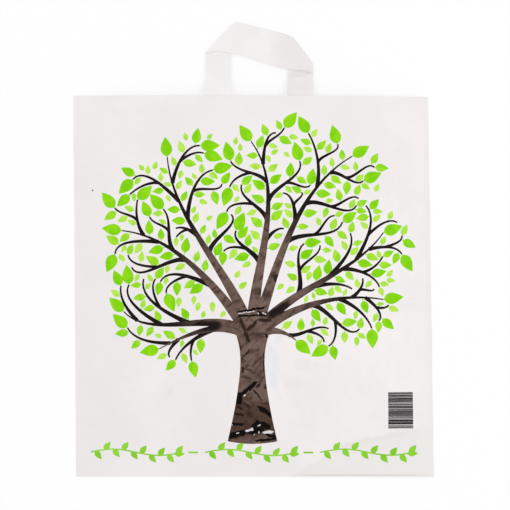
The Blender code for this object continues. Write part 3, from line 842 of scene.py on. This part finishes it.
def trunk_half_width(y):
    """Narrowest at the waist, with one flare down to the foot and a quicker one up to the fork."""
    end_y, end_width, power = ((TRUNK_FOOT_Y, TRUNK_FOOT_WIDTH, 1.5) if y < TRUNK_WAIST_Y
                               else (TRUNK_FORK_Y, TRUNK_FORK_WIDTH, 2.2))
    flare = ((y - TRUNK_WAIST_Y) / (end_y - TRUNK_WAIST_Y)) ** power
    return (TRUNK_WAIST_WIDTH + (end_width - TRUNK_WAIST_WIDTH) * flare) / 2


def trunk():
    rows = [(trunk_half_width(y), y) for y in spread(TRUNK_FOOT_Y, TRUNK_FORK_Y, TRUNK_ROWS)]
    shapes = [[(-a, y), (a, y), (b, top), (-b, top)] for (a, y), (b, top) in zip(rows, rows[1:])]
    half = TRUNK_FOOT_WIDTH / 2
    foot = [(half * t, TRUNK_FOOT_Y - TRUNK_FOOT_ROUND * (1 - t * t)) for t in spread(-1, 1, FOOT_STEPS)]
    return shapes + [foot]


def limb_strip(limb, patches, thicker=1.0):
    shares = spread(0, 1, patches)
    return strip([limb.at(t) for t in shares], [limb.width(t) * thicker for t in shares])


def stalk(leaf):
    """The short green line from the limb to the leaf."""
    return strip([leaf.limb.at(leaf.t), leaf.along(0.1)], [STALK_WIDTH] * 2)


draw("bark", trunk())
for bough in boughs:
    draw("bark", limb_strip(bough, BOUGH_PATCHES))
for twig in twigs + sprigs:
    draw("twig", limb_strip(twig, TWIG_PATCHES, TWIG_THICKER))
for leaf in leaves:
    size = leaf.length + rng.uniform(-LEAF_MIX, LEAF_MIX)
    shade = 0 if size > LEAF_DEEP_FROM else 1 if size > LEAF_MIDDLE_FROM else 2
    draw(f"leaf {shade}", [leaf.outline(LEAF_EDGE_STEPS)] + stalk(leaf))
for leaf in loose_leaves:
    draw("leaf 2", [leaf.outline(LEAF_EDGE_STEPS)])
print(len(outlines), "outlines")

# %% [markdown]
# A leafy border runs along the bottom in three sprays with a dash between each, in the same green. A block
# of plain bars stands near the right edge. They are finer than on its solid, a third of a millimetre at the
# least, and their rhythm is made up.

# %% Outlines of the border and the bars
BORDER_MARGIN_LEFT = 0.017
BORDER_MARGIN_RIGHT = 0.021
BORDER_Y = 0.028
BORDER_WAVE = 0.0035
BORDER_STEM = 0.0016
BORDER_LEAF = 0.0115
BORDER_LEAVES = 10
BORDER_STEPS = 40
DASH_LENGTH = 0.011
DASH_WIDTH = 0.0020
DASH_ROOM = 0.027
BAR_UNIT = 0.00034
BARS_SHIFT = -0.0018
BARS_RISE = 0.0010


def border_spray(left, right):
    """A waving stem with leaves on both sides and one at its end."""
    ahead = math.radians(90)
    stem = Branch((left, BORDER_Y), ahead, (right, BORDER_Y), ahead, BORDER_STEM)
    points = [(stem.at(t)[0], BORDER_Y + BORDER_WAVE * math.sin(2 * math.pi * t))
              for t in spread(0, 1, BORDER_STEPS)]
    turns = [(52 if k % 2 == 0 else -52, round((k + 0.5) / BORDER_LEAVES * BORDER_STEPS))
             for k in range(BORDER_LEAVES)]
    shapes = strip(points, [BORDER_STEM] * len(points))
    for turn, place in turns + [(0, -4)]:
        leaf = Leaf(stem, 0.5, math.radians(90 + turn), 0.0, BORDER_LEAF)
        shapes.append(leaf.move_to(points[place]).outline(LEAF_EDGE_STEPS))
    return shapes


def bar_block(x, y, width, height):
    """Bars of a few thicknesses, one over the other, until the block is full."""
    choose = random.Random(SEED)
    shapes = []
    level = y
    while level < y + height - BAR_UNIT:
        thick = min(BAR_UNIT * choose.choice((1, 2, 2, 3, 4, 6)), y + height - level)
        shapes.append([(x, level), (x + width, level), (x + width, level + thick), (x, level + thick)])
        level += thick + BAR_UNIT * choose.choice((0.4, 0.4, 0.5, 0.5, 1.1))
    return shapes


spray_length = (BAG_WIDTH - BORDER_MARGIN_LEFT - BORDER_MARGIN_RIGHT - 2 * DASH_ROOM) / 3
for k in range(3):
    left = BORDER_MARGIN_LEFT - BAG_WIDTH / 2 + k * (spray_length + DASH_ROOM)
    draw("border", border_spray(left, left + spray_length))
    if k < 2:
        dash = left + spray_length + (DASH_ROOM - DASH_LENGTH) / 2
        draw("border", strip([(dash, BORDER_Y), (dash + DASH_LENGTH, BORDER_Y)], [DASH_WIDTH] * 2))
bars_low, bars_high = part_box("bar_print")
bars_size = bars_high - bars_low
bars_corner = bars_low.x + BARS_SHIFT, bars_low.y - BOTTOM_EDGE
draw("bars", bar_block(*bars_corner, bars_size.x, bars_size.y + BARS_RISE))
print(f"{len(outlines)} outlines, bars {bars_size.x * 1000:.0f} by {bars_size.y * 1000:.0f} mm")

# %% [markdown]
# ## The shape of the film
# The two panels touch along the welds and stand a little apart in the middle, and the film between has a
# memory of every fold. The level of the front panel is the solid's own curve plus this relief: slow waves,
# a soft crumple, and the named creases. Each crease is a line, a width and a rise in millimetres, and it fades
# at its ends.

# %% Level of the panels
MOUTH = 0.010
BELLY_Y = 0.220
BOTTOM_RISE = 0.110
SIDE_FULLNESS = 2.6
SLOW_WAVE = 0.0013
SOFT_CRUMPLE = 0.00035
MARK_DENT = 0.00035
MARK_MARGIN = 0.0008
FOLD_DROP = 0.0016
CORNER_LIFT = 0.0016
LEAST_OPEN = 0.0001
RELIEF_LINES = in_metres((
    (13, 206, 22, 150, 3, 0.7), (22, 150, 12, 98, 3, 0.6), (24, 120, 34, 88, 3, 0.5),
    (53, 144, 66, 130, 2.8, 0.6), (66, 130, 76, 119, 2.8, -0.5), (60, 122, 72, 142, 2.4, 0.4),
    (160, 192.5, 201, 190.5, 2.2, -1.3), (150, 196, 200, 199, 4, 0.8), (-190, 60, -120, 105, 6, 0.6),
    (-200, 250, -160, 262, 5, -0.6), (-150, 415, -60, 424, 6, 0.6), (80, 410, 170, 424, 6, -0.6)), 6)
for *ends, half_width, tone, softness in BLACK_MARKS + BROWN_MARKS:
    RELIEF_LINES.append((*ends, half_width + MARK_MARGIN, -MARK_DENT * tone * (1 - 0.6 * softness)))
RELIEF_LINES += [(*glint, MARK_DENT) for glint in GLINTS]


def room_inside(x, y):
    """Height of the space between the two panels, as in the solid."""
    half = BAG_WIDTH / 2 - SEAM
    across = max(0.0, 1 - (abs(x) / half) ** SIDE_FULLNESS)
    rise = math.sin(math.pi / 2 * min(1.0, max(0.0, (y - SEAM) / BOTTOM_RISE)))
    fall = smooth((y - BELLY_Y) / (BAG_HEIGHT - BELLY_Y))
    return across * rise * (BELLY + (MOUTH - BELLY) * fall)


def line_profile(x, y, x0, y0, x1, y1, width):
    """1 on a line, falling to 0 away from it and towards its ends."""
    for value, a, b in ((x, x0, x1), (y, y0, y1)):
        if not min(a, b) - 3 * width < value < max(a, b) + 3 * width:
            return 0.0
    run_x, run_y = x1 - x0, y1 - y0
    length = math.hypot(run_x, run_y)
    along = ((x - x0) * run_x + (y - y0) * run_y) / length
    beside = ((x - x0) * run_y - (y - y0) * run_x) / length
    past = max(0.0, -along, along - length)
    return math.exp(-(beside / width) ** 2 - (past / width) ** 2)


def relief(x, y):
    slow = wavy(x * 8, y * 8, 3.1) * SLOW_WAVE + wavy(x * 21, y * 17, 8.4) * SLOW_WAVE * 0.35
    ridged = 1 - abs(wavy(x * 46, y * 46, 1.7)) * 2
    crumple = (ridged * 0.6 + wavy(x * 105, y * 105, 5.2)) * SOFT_CRUMPLE
    return slow + crumple + sum(rise * line_profile(x, y, *line) for *line, rise in RELIEF_LINES)


def corner_lift(x, y):
    """The bottom edge stands a little off the table towards the right."""
    return CORNER_LIFT * smooth((x - 0.040) / 0.030) * smooth((0.030 - y) / 0.030)


def from_weld(x, y):
    return min(BAG_WIDTH / 2 - SEAM - abs(x), y - SEAM)


def front_level(x, y):
    edge = from_weld(x, y)
    level = 2 * FILM + room_inside(x, y)
    if edge > 0:
        beyond = min(x * across + y * up - start for across, up, start in FOLD_SIDES)
        level += relief(x, y) * smooth(edge / 0.018)
        level -= FOLD_DROP * smooth(beyond / 0.008) * smooth(edge / 0.030)
        level = max(level, 2 * FILM + LEAST_OPEN)
    return level + corner_lift(x, y)


def back_level(x, y):
    edge = from_weld(x, y)
    wave = min((0.5 + 0.5 * wavy(x * 14, y * 14, 20.3)) * 0.0004, room_inside(x, y) * 0.3)
    return (wave * smooth(edge / 0.02) if edge > 0 else 0.0) + corner_lift(x, y)


print(f"belly {BELLY * 1000:.1f} mm, mouth {MOUTH * 1000:.0f} mm,", len(RELIEF_LINES), "lines in the relief")

# %% [markdown]
# The cut edges are not ruler straight either. The bag is a hair narrower at the mouth, leans a little, and
# its sides wander by half a millimetre. This shift grows from nothing in the middle to its full size at the
# sides.

# %% Drift of the outline
TOP_SIDES = (-0.0026, -0.0015)
BOTTOM_SIDES = (0.0007, 0.0050)
MOUTH_TILT = 0.0010
EDGE_WANDER = 0.0004
STILL_HALF = 0.09
DRIFT_RUN = 0.11


def drift(x, y):
    """Sideways shift of a point of the flat bag."""
    side = 0 if x < 0 else 1
    lean = BOTTOM_SIDES[side] + (TOP_SIDES[side] - BOTTOM_SIDES[side]) * (y / BAG_HEIGHT)
    wander = EDGE_WANDER * wavy(7.0 * side, y * 22, 2.0)
    return (lean + wander) * smooth((abs(x) - STILL_HALF) / DRIFT_RUN)


def rise_of_edge(x, y):
    """Lengthways shift, which curves the mouth and the bottom edge by a fraction of a millimetre."""
    upper = y > BAG_HEIGHT / 2
    wander = EDGE_WANDER * wavy(x * 16, 4.0 if upper else 11.0, 6.0)
    if upper:
        wander -= MOUTH_TILT * x / BAG_WIDTH
    return wander * smooth(abs(y / BAG_HEIGHT - 0.5) * 5 - 1.5)


def film_point(x, y, level):
    return in_frame(x + drift(x, y), y + rise_of_edge(x, y), level)


print("drift at the top corners:", [round(drift(s * BAG_WIDTH / 2, BAG_HEIGHT) * 1000, 1) for s in (-1, 1)])

# %% [markdown]
# ## One triangulation for film and ink
# The ink must follow each crease of the film exactly, or it would float or sink. So film and ink share one
# flat triangulation. All outlines go in with a grid of extra points, closer together around the trunk where
# the creases are sharp, and each triangle comes back with the outlines that it lies in.

# %% Triangles of the front panel
FIELD_PITCH = 0.0030
TRUNK_PITCH = 0.0015
TRUNK_FIELD = (-0.034, 0.080, 0.036, 0.212)
CORNER_RUN = 0.0014
OUTLINE_ROOM = 0.0008
MERGE_DISTANCE = 1e-5
half_width = BAG_WIDTH / 2
seam_x = half_width - SEAM
inner_columns = spread(-seam_x, seam_x, 140)
inner_rows = spread(SEAM, BAG_HEIGHT, 150)
all_columns = [-half_width] + inner_columns + [half_width]
all_rows = [0.0] + inner_rows


def line_of(points, closed=False):
    """The points of a line and the edges between them."""
    pairs = [(k, k + 1) for k in range(len(points) - 1)]
    return points, pairs + ([(len(points) - 1, 0)] if closed else [])


def border_lines():
    """The bag's outline, the weld line inside it, and a short line across each bottom corner."""
    bottom = [(x, 0.0) for x in all_columns]
    right = [(half_width, y) for y in all_rows[1:]]
    mouth = [(x, BAG_HEIGHT) for x in all_columns[-2::-1]]
    left = [(-half_width, y) for y in all_rows[-2:0:-1]]
    weld = [(-seam_x, y) for y in inner_rows[-2::-1]] + [(x, SEAM) for x in inner_columns[1:]]
    weld += [(seam_x, y) for y in inner_rows[1:-1]]
    corners = []
    for side in (-1, 1):
        inside = side * (seam_x - CORNER_RUN), SEAM + CORNER_RUN
        corners.append(line_of([(side * half_width, 0.0), (side * seam_x, SEAM), inside]))
    return [line_of(bottom + right + mouth + left, True), line_of(weld)] + corners


def field_points(pitch, low_x, high_x, low_y, high_y, skip=None):
    """Points of a grid with every second row moved by half a step."""
    found = []
    rows = round((high_y - low_y) / (pitch * 0.87))
    for j, y in enumerate(spread(low_y, high_y, rows)[1:-1]):
        x = low_x + pitch * (1.0 if j % 2 else 0.5)
        while x < high_x - pitch * 0.3:
            if not skip or not (skip[0] < x < skip[1] and skip[2] < y < skip[3]):
                found.append((x, y))
            x += pitch
    return found


def cell_of(x, y):
    """The small square that a point lies in, to keep grid points off the outlines."""
    return math.floor(x / OUTLINE_ROOM), math.floor(y / OUTLINE_ROOM)


def counter_clockwise(shape):
    area = sum(a[0] * b[1] - b[0] * a[1] for a, b in zip(shape, shape[1:] + shape[:1]))
    return shape if area > 0 else shape[::-1]


def triangulate(shapes, fields):
    """Flat points, triangles, and for each triangle the shapes that it lies in."""
    points, edges, faces, taken = [], [], [], set()
    for line, pairs in border_lines():
        edges += [(a + len(points), b + len(points)) for a, b in pairs]
        points += line
    for shape in map(counter_clockwise, shapes):
        for a, b in zip(shape, shape[1:] + shape[:1]):
            for t in spread(0, 1, max(1, math.ceil(math.dist(a, b) / OUTLINE_ROOM))):
                taken.add(cell_of(a[0] + (b[0] - a[0]) * t, a[1] + (b[1] - a[1]) * t))
        faces.append(list(range(len(points), len(points) + len(shape))))
        points += shape
    points += [p for p in fields if cell_of(*p) not in taken]
    flat, _, triangles, _, _, owners = geometry.delaunay_2d_cdt(points, edges, faces, 0, MERGE_DISTANCE, True)
    return [tuple(p) for p in flat], triangles, owners


fields = field_points(FIELD_PITCH, -seam_x, seam_x, SEAM, BAG_HEIGHT, TRUNK_FIELD)
fields += field_points(TRUNK_PITCH, *TRUNK_FIELD)
flat_front, front_faces, front_owners = triangulate([shape for _, shape in outlines], fields)
print(len(flat_front), "points and", len(front_faces), "triangles in the front panel")

# %% [markdown]
# ## The bag
# The real bag is one tube of film, cut to length and welded shut. The mesh is closed in the same way. The
# outer skins of front and back share the side and bottom edges. The inner skins meet along the weld line, and
# narrow rims join inside and outside round the mouth.

# %% Bag film
SAME = 1e-6
BACK_PITCH = 0.0070


def on_rim(x, y):
    """On the side or bottom edges, where front and back are one."""
    return abs(abs(x) - half_width) < SAME or y < SAME


def within_weld(x, y):
    return abs(x) < seam_x + SAME and y > SEAM - SAME


def on_weld(x, y):
    return within_weld(x, y) and (abs(abs(x) - seam_x) < SAME or y < SEAM + SAME)


class Skin:
    """One side of a panel's film, some way from the panel's level, as bmesh points made on demand.

    Two skins with the same shared store are one where joined(x, y) holds.
    """

    def __init__(self, bm, level, away, shared, joined):
        self.bm, self.level, self.away, self.shared, self.joined = bm, level, away, shared, joined
        self.own = {}

    def vert(self, x, y):
        joined = self.joined(x, y)
        store, key = self.shared if joined else self.own, (round(x / SAME), round(y / SAME))
        if key not in store:
            level = FILM + corner_lift(x, y) if joined else self.level(x, y) + self.away
            store[key] = self.bm.verts.new(film_point(x, y, level))
        return store[key]

    def cover(self, flat, triangles, test=None):
        for triangle in triangles:
            corners = [flat[k] for k in triangle]
            if test is None or all(test(*corner) for corner in corners):
                self.bm.faces.new([self.vert(*corner) for corner in corners])

    def mouth(self):
        return [self.vert(x, BAG_HEIGHT) for x in inner_columns]


def close_strip(bm, first, second):
    for a, b, c, d in zip(first, second, second[1:], first[1:]):
        bm.faces.new((a, b, c, d))


def build_bag():
    flat_back, back_faces, _ = triangulate([], field_points(BACK_PITCH, -seam_x, seam_x, SEAM, BAG_HEIGHT))
    bm = bmesh.new()
    rim, weld = {}, {}
    front, back = (Skin(bm, level, 0.0, rim, on_rim) for level in (front_level, back_level))
    front_inside = Skin(bm, front_level, -FILM, weld, on_weld)
    back_inside = Skin(bm, back_level, FILM, weld, on_weld)
    front.cover(flat_front, front_faces)
    back.cover(flat_back, back_faces)
    front_inside.cover(flat_front, front_faces, within_weld)
    back_inside.cover(flat_back, back_faces, within_weld)
    close_strip(bm, front.mouth(), front_inside.mouth())
    close_strip(bm, back.mouth(), back_inside.mouth())
    for side in (-1, 1):
        corners = (front, seam_x), (front_inside, seam_x), (back, seam_x), (front, half_width)
        bm.faces.new([skin.vert(side * x, BAG_HEIGHT) for skin, x in corners])
    bmesh.ops.recalc_face_normals(bm, faces=bm.faces)
    open_edges = sum(not edge.is_manifold for edge in bm.edges)
    print(len(bm.faces), "faces in the bag,", open_edges, "open edges")
    return add_piece("film_bag", bm, [white_film])


film_bag = build_bag()
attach(film_bag, "root")
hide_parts("bag_body")

# %% [markdown]
# ## The ink
# Printing ink adds a few thousandths of a millimetre. Each ink is made from the triangles that its outlines
# own, lifted just clear of the film, so that it bends with every fold. Where outlines overlap, the limbs win.

# %% Printed pieces
INK_LIFT = 0.00004
INK_ORDER = ("bark", "twig", "leaf 0", "leaf 1", "leaf 2", "border", "bars")


def ink_of(owners):
    inks = {outlines[k][0] for k in owners}
    return next((ink for ink in INK_ORDER if ink in inks), None)


def printed(name, inks, materials, nodes):
    """The print in some inks, each with its material, as one piece that stands for the given solids."""
    bm = bmesh.new()
    made = {}
    for triangle, owners in zip(front_faces, front_owners):
        ink = ink_of(owners)
        if ink in inks:
            for k in triangle:
                if k not in made:
                    x, y = flat_front[k]
                    made[k] = bm.verts.new(film_point(x, y, front_level(x, y) + INK_LIFT))
            face = bm.faces.new([made[k] for k in triangle])
            face.material_index = inks.index(ink)
            face.normal_update()
            if face.normal.z < 0:
                face.normal_flip()
    print(name, len(bm.faces), "faces")
    piece = add_piece(name, bm, materials)
    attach(piece, "root")
    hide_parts(*nodes)


printed("printed_tree", ("bark", "twig"), [bark_ink, twig_ink], ["tree_print"])
printed("printed_leaves", ("leaf 0", "leaf 1", "leaf 2"), leaf_inks, ["leaf_print"])
printed("printed_border", ("border",), [border_ink],
        [f"border_spray_{side}" for side in ("left", "middle", "right")]
        + [f"border_dash_{side}" for side in ("left", "right")])
printed("printed_bars", ("bars",), [bar_ink], ["bar_print"])

# %% [markdown]
# ## The soft loop handles
# Each handle is one flat strap of doubled film, welded inside the mouth. It comes up, folds over to run
# across, folds back and goes down again. The strap is built as a ribbon of cross rows: level and place come
# from the fold lines, and a soft bulge and fine crinkles keep it from looking like card.

# %% Sizes of the handles
STRAP_WIDTH = 0.0287
STRAP_FILM = 0.00020
LEFT_LEG_X = -0.0385
RIGHT_LEG_X = 0.0540
LEG_TUCK = 0.040
LEFT_FOLD = (0.048, 0.084)
RIGHT_FOLD = (0.026, 0.068)
FOLD_SPREAD = 0.005
FOLD_RADIUS = 0.0003
LEFT_BULGE = (0.0006, 0.5)
RIGHT_BULGE = (0.0052, 0.21)
BRIDGE_BOW = 0.0055
BRIDGE_SAG = 0.0010
BLUNT = 0.0012
DROOP = 0.022
REAR_RISE = 0.0005
ACROSS = 14
LEG_STEPS = 16
BRIDGE_STEPS = 30
FOLD_STEPS = 8
CORNER_SHARP = 7.0
CRINKLE = 0.00026
WELD_GAP = 0.0002
LOOP_GAP = 0.0009
print(f"straps {STRAP_WIDTH * 1000:.1f} mm wide, of film {STRAP_FILM * 1000:.2f} mm thick")

# %% [markdown]
# The strap is described by cross rows of points, from one edge of the strap to the other. A fold line carries
# its rows out by a bulge: how far the fold stands out, and the share of the strap's width where it does so
# most. The same rows serve both handles, with the rear one flat on the table under the other.

# %% Rows of a strap
SHARES = spread(0, 1, ACROSS)


def between(a, b, t):
    return tuple(p + (q - p) * t for p, q in zip(a, b))


class Fold:
    """The fold at one end of the bridge, -1 on the left and 1 on the right, with the leg that leads to it."""

    def __init__(self, side, leg_x, foot, heights, bulge):
        half = side * STRAP_WIDTH / 2
        self.side, self.bulge, self.legs = side, bulge, (leg_x + half, leg_x - half)
        self.ends = (self.legs[0], foot + heights[0]), (self.legs[1] + FOLD_SPREAD, foot + heights[1])
        (x0, y0), (x1, y1) = self.ends
        length = math.dist(*self.ends)
        self.away = side * (y1 - y0) / length, side * (x0 - x1) / length

    def carried(self, point, share, t):
        """A point moved out by the bulge, which grows towards the fold line."""
        far, peak = self.bulge
        rising, falling = share / peak, (1 - share) / (1 - peak)
        corner = -math.log(math.exp(-CORNER_SHARP * rising) + math.exp(-CORNER_SHARP * falling)) / CORNER_SHARP
        far = far * max(0.0, corner) - BLUNT * max(0.0, share * 10 - 9)
        far *= smooth((t - 0.3) / 0.7)
        return point[0] + self.away[0] * far, point[1] + self.away[1] * far

    def leg(self, tucked, resting):
        """Rows from inside the mouth, at the level tucked(x, y), up to the fold line."""
        rows, top = [], BAG_HEIGHT + DROOP
        for y in spread(BAG_HEIGHT - LEG_TUCK, top, LEG_STEPS):
            out = smooth((y - BAG_HEIGHT) / DROOP)
            inside = [(x, tucked(x, min(y, BAG_HEIGHT))) for x in spread(*self.legs, ACROSS)]
            rows.append([(x, y, level + (resting - level) * out) for x, level in inside])
        for t in spread(0, 1, LEG_STEPS)[1:]:
            row, lean = [], smooth((t - 0.35) / 0.65)
            for share in SHARES:
                x, y = between((self.legs[0], top), (self.legs[1], top), share)
                end_x, end_y = between(*self.ends, share)
                point = x + (end_x - x) * lean, y + (end_y - y) * t
                row.append((*self.carried(point, share, t), resting))
            rows.append(row)
        return rows

    def round_rows(self, level):
        """Rows round the soft fold, from this level to the other side of the strap."""
        rows = []
        for turn in spread(0, 1, FOLD_STEPS)[1:-1]:
            out = FOLD_RADIUS * math.sin(math.pi * turn)
            up = level - self.side * FOLD_RADIUS * (1 - math.cos(math.pi * turn))
            points = [self.carried(between(*self.ends, share), share, 1.0) for share in SHARES]
            rows.append([(x + self.away[0] * out, y + self.away[1] * out, up) for x, y in points])
        return rows


def bridge(left, right, level):
    """Rows from the left fold to the right one, with a bow along the upper edge."""
    rows = []
    for t in spread(0, 1, BRIDGE_STEPS):
        bow = BRIDGE_BOW * smooth(t / 0.1) * smooth((0.72 - t) / 0.5)
        bow -= BRIDGE_SAG * math.exp(-((t - 0.70) / 0.08) ** 2)
        row = []
        for share in SHARES:
            point = between(between(*left.ends, share), between(*right.ends, share), t)
            x, y = right.carried(left.carried(point, share, 1 - 4 * t), share, 4 * t - 3)
            row.append((x, y + bow * (1 - share) ** 1.5, level))
        rows.append(row)
    return rows


def strap_rows(rise, tucked, resting):
    """All rows of a strap whose folds are moved up by rise, and which rests at a level beyond the mouth."""
    left = Fold(-1, LEFT_LEG_X, BAG_HEIGHT + rise, LEFT_FOLD, LEFT_BULGE)
    right = Fold(1, RIGHT_LEG_X, BAG_HEIGHT + rise, RIGHT_FOLD, RIGHT_BULGE)
    over = resting + 2 * FOLD_RADIUS
    rows = left.leg(tucked, resting) + left.round_rows(resting) + bridge(left, right, over)
    return rows + right.round_rows(over) + right.leg(tucked, resting)[::-1]


print("each row of a strap has", len(SHARES), "points")

# %% [markdown]
# The rows become a grid of faces, and Solidify gives the strap its two layers of film. The crinkle is a
# small ridged noise that fades to nothing inside the mouth, where the strap is welded flat.

# %% Handle pieces


def crinkle(x, y, seed):
    ridged = 1 - 2 * abs(wavy(x * 75, y * 75, seed))
    return CRINKLE * (0.5 * ridged + wavy(x * 30, y * 30, seed + 4)) * smooth((y - BAG_HEIGHT) / 0.02)


def build_handle(name, rows, seed, node):
    bm = bmesh.new()
    grid = []
    for row in rows:
        points = [(x, y, max(level + crinkle(x, y, seed), STRAP_FILM / 2)) for x, y, level in row]
        grid.append([bm.verts.new(in_frame(*point)) for point in points])
    for row, following in zip(grid, grid[1:]):
        close_strip(bm, row, following)
    bmesh.ops.recalc_face_normals(bm, faces=bm.faces)
    piece = add_piece(name, bm, [strap_film])
    film = piece.modifiers.new("Film", "SOLIDIFY")
    film.thickness = STRAP_FILM
    film.offset = 0
    bpy.context.view_layer.objects.active = piece
    bpy.ops.object.modifier_apply(modifier=film.name)
    piece.data.set_sharp_from_angle(angle=SHARP_ANGLE)
    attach(piece, "root")
    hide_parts(node)
    print(name, len(piece.data.polygons), "faces")


in_film = FILM + STRAP_FILM + WELD_GAP
rear_resting = STRAP_FILM / 2 + CRINKLE
front_resting = rear_resting + 2 * FOLD_RADIUS + LOOP_GAP
front_rows = strap_rows(0.0, lambda x, y: front_level(x, y) - in_film, front_resting)
rear_rows = strap_rows(REAR_RISE, lambda x, y: back_level(x, y) + in_film, rear_resting)
build_handle("front_loop", front_rows, 1.0, "front_handle")
build_handle("rear_loop", rear_rows, 9.0, "rear_handle")

# %% [markdown]
# ## Floor and light
# The table is white paper. Part of its white is shown straight to the camera, so that it stays pale, and the
# rest is lit, so that the bag's soft shadow still falls on it.

# %% Floor
FLOOR_SIZE = 6.0
FLOOR_GLOW = 0.72
FLOOR_LEVEL = -0.0002


def shown_background(tree):
    """1 for the rays that show the background, straight or in a reflection, and 0 for its light."""
    seen = add_node(tree, "LightPath").outputs
    return strongest(tree, [seen[f"Is {kind} Ray"] for kind in ("Camera", "Glossy", "Transmission")])


floor_material = bpy.data.materials.new("white table")
floor_material.use_nodes = True
floor_tree = floor_material.node_tree
floor_tree.nodes.clear()
lit = add_node(floor_tree, "BsdfDiffuse", {"Color": (0.97, 0.97, 0.97, 1)})
glow = add_node(floor_tree, "Emission", {"Color": (1, 1, 1, 1), "Strength": 1.0})
share = calc(floor_tree, "MULTIPLY", shown_background(floor_tree), FLOOR_GLOW)
both = add_node(floor_tree, "MixShader", {0: share, 1: lit.outputs[0], 2: glow.outputs[0]})
add_node(floor_tree, "OutputMaterial", {"Surface": both.outputs[0]})
bm = bmesh.new()
bmesh.ops.create_grid(bm, x_segments=1, y_segments=1, size=FLOOR_SIZE / 2)
floor = add_piece("table_top", bm, [floor_material])
floor.location.z = FLOOR_LEVEL
print("floor", FLOOR_SIZE, "m wide")

# %% [markdown]
# A pale sky and two large lamps light the bag evenly. One lamp is stronger than the other, which brings out
# the folds. The sky is white where it shows, and a little less bright as a light.

# %% Lamps and sky
SKY_STRENGTH = 0.745
world = bpy.data.worlds.new("pale studio")
bpy.context.scene.world = world
world.use_nodes = True
sky_tree = world.node_tree
sky = sky_tree.nodes["Background"]
shown = calc(sky_tree, "MULTIPLY_ADD", shown_background(sky_tree), 1 - SKY_STRENGTH, SKY_STRENGTH)
connect(sky_tree, (1, 1, 1, 1), sky.inputs["Color"])
connect(sky_tree, shown, sky.inputs["Strength"])


def add_lamp(name, place, size, power):
    """A square lamp that faces the middle of the bag."""
    light = bpy.data.lights.new(name, "AREA")
    light.size = size
    light.energy = power
    lamp = bpy.data.objects.new(name, light)
    lamp.location = place
    lamp.rotation_euler = (-Vector(place)).to_track_quat("-Z", "Y").to_euler()
    bpy.context.scene.collection.objects.link(lamp)
    print(name, power, "W")


add_lamp("upper left lamp", (-2.1, 1.9, 2.7), 1.6, 24)
add_lamp("right lamp", (2.6, -0.5, 3.1), 2.2, 38)

# %% [markdown]
# ## Camera
# The view is straight down with the mouth at the top. The lens and distance are set so that one pixel of the
# square picture is 1.125 mm on the bag, with the aim a little above the middle of the bag with its handles.

# %% Camera
VIEW_WIDTH = 510 * 0.001125
CAMERA_HEIGHT = 1.6
AIM = (0.0028, -0.0064, 0.008)
camera_data = bpy.data.cameras.new("camera")
camera_data.sensor_fit = "HORIZONTAL"
camera_data.angle = 2 * math.atan(VIEW_WIDTH / 2 / CAMERA_HEIGHT)
camera = bpy.data.objects.new("camera", camera_data)
camera.location = (AIM[0], AIM[1], AIM[2] + CAMERA_HEIGHT)
bpy.context.scene.collection.objects.link(camera)
bpy.context.scene.camera = camera
bpy.context.scene.view_settings.view_transform = "Standard"
print(f"camera {CAMERA_HEIGHT:.2f} m above the bag, {math.degrees(camera_data.angle):.1f} degrees wide")
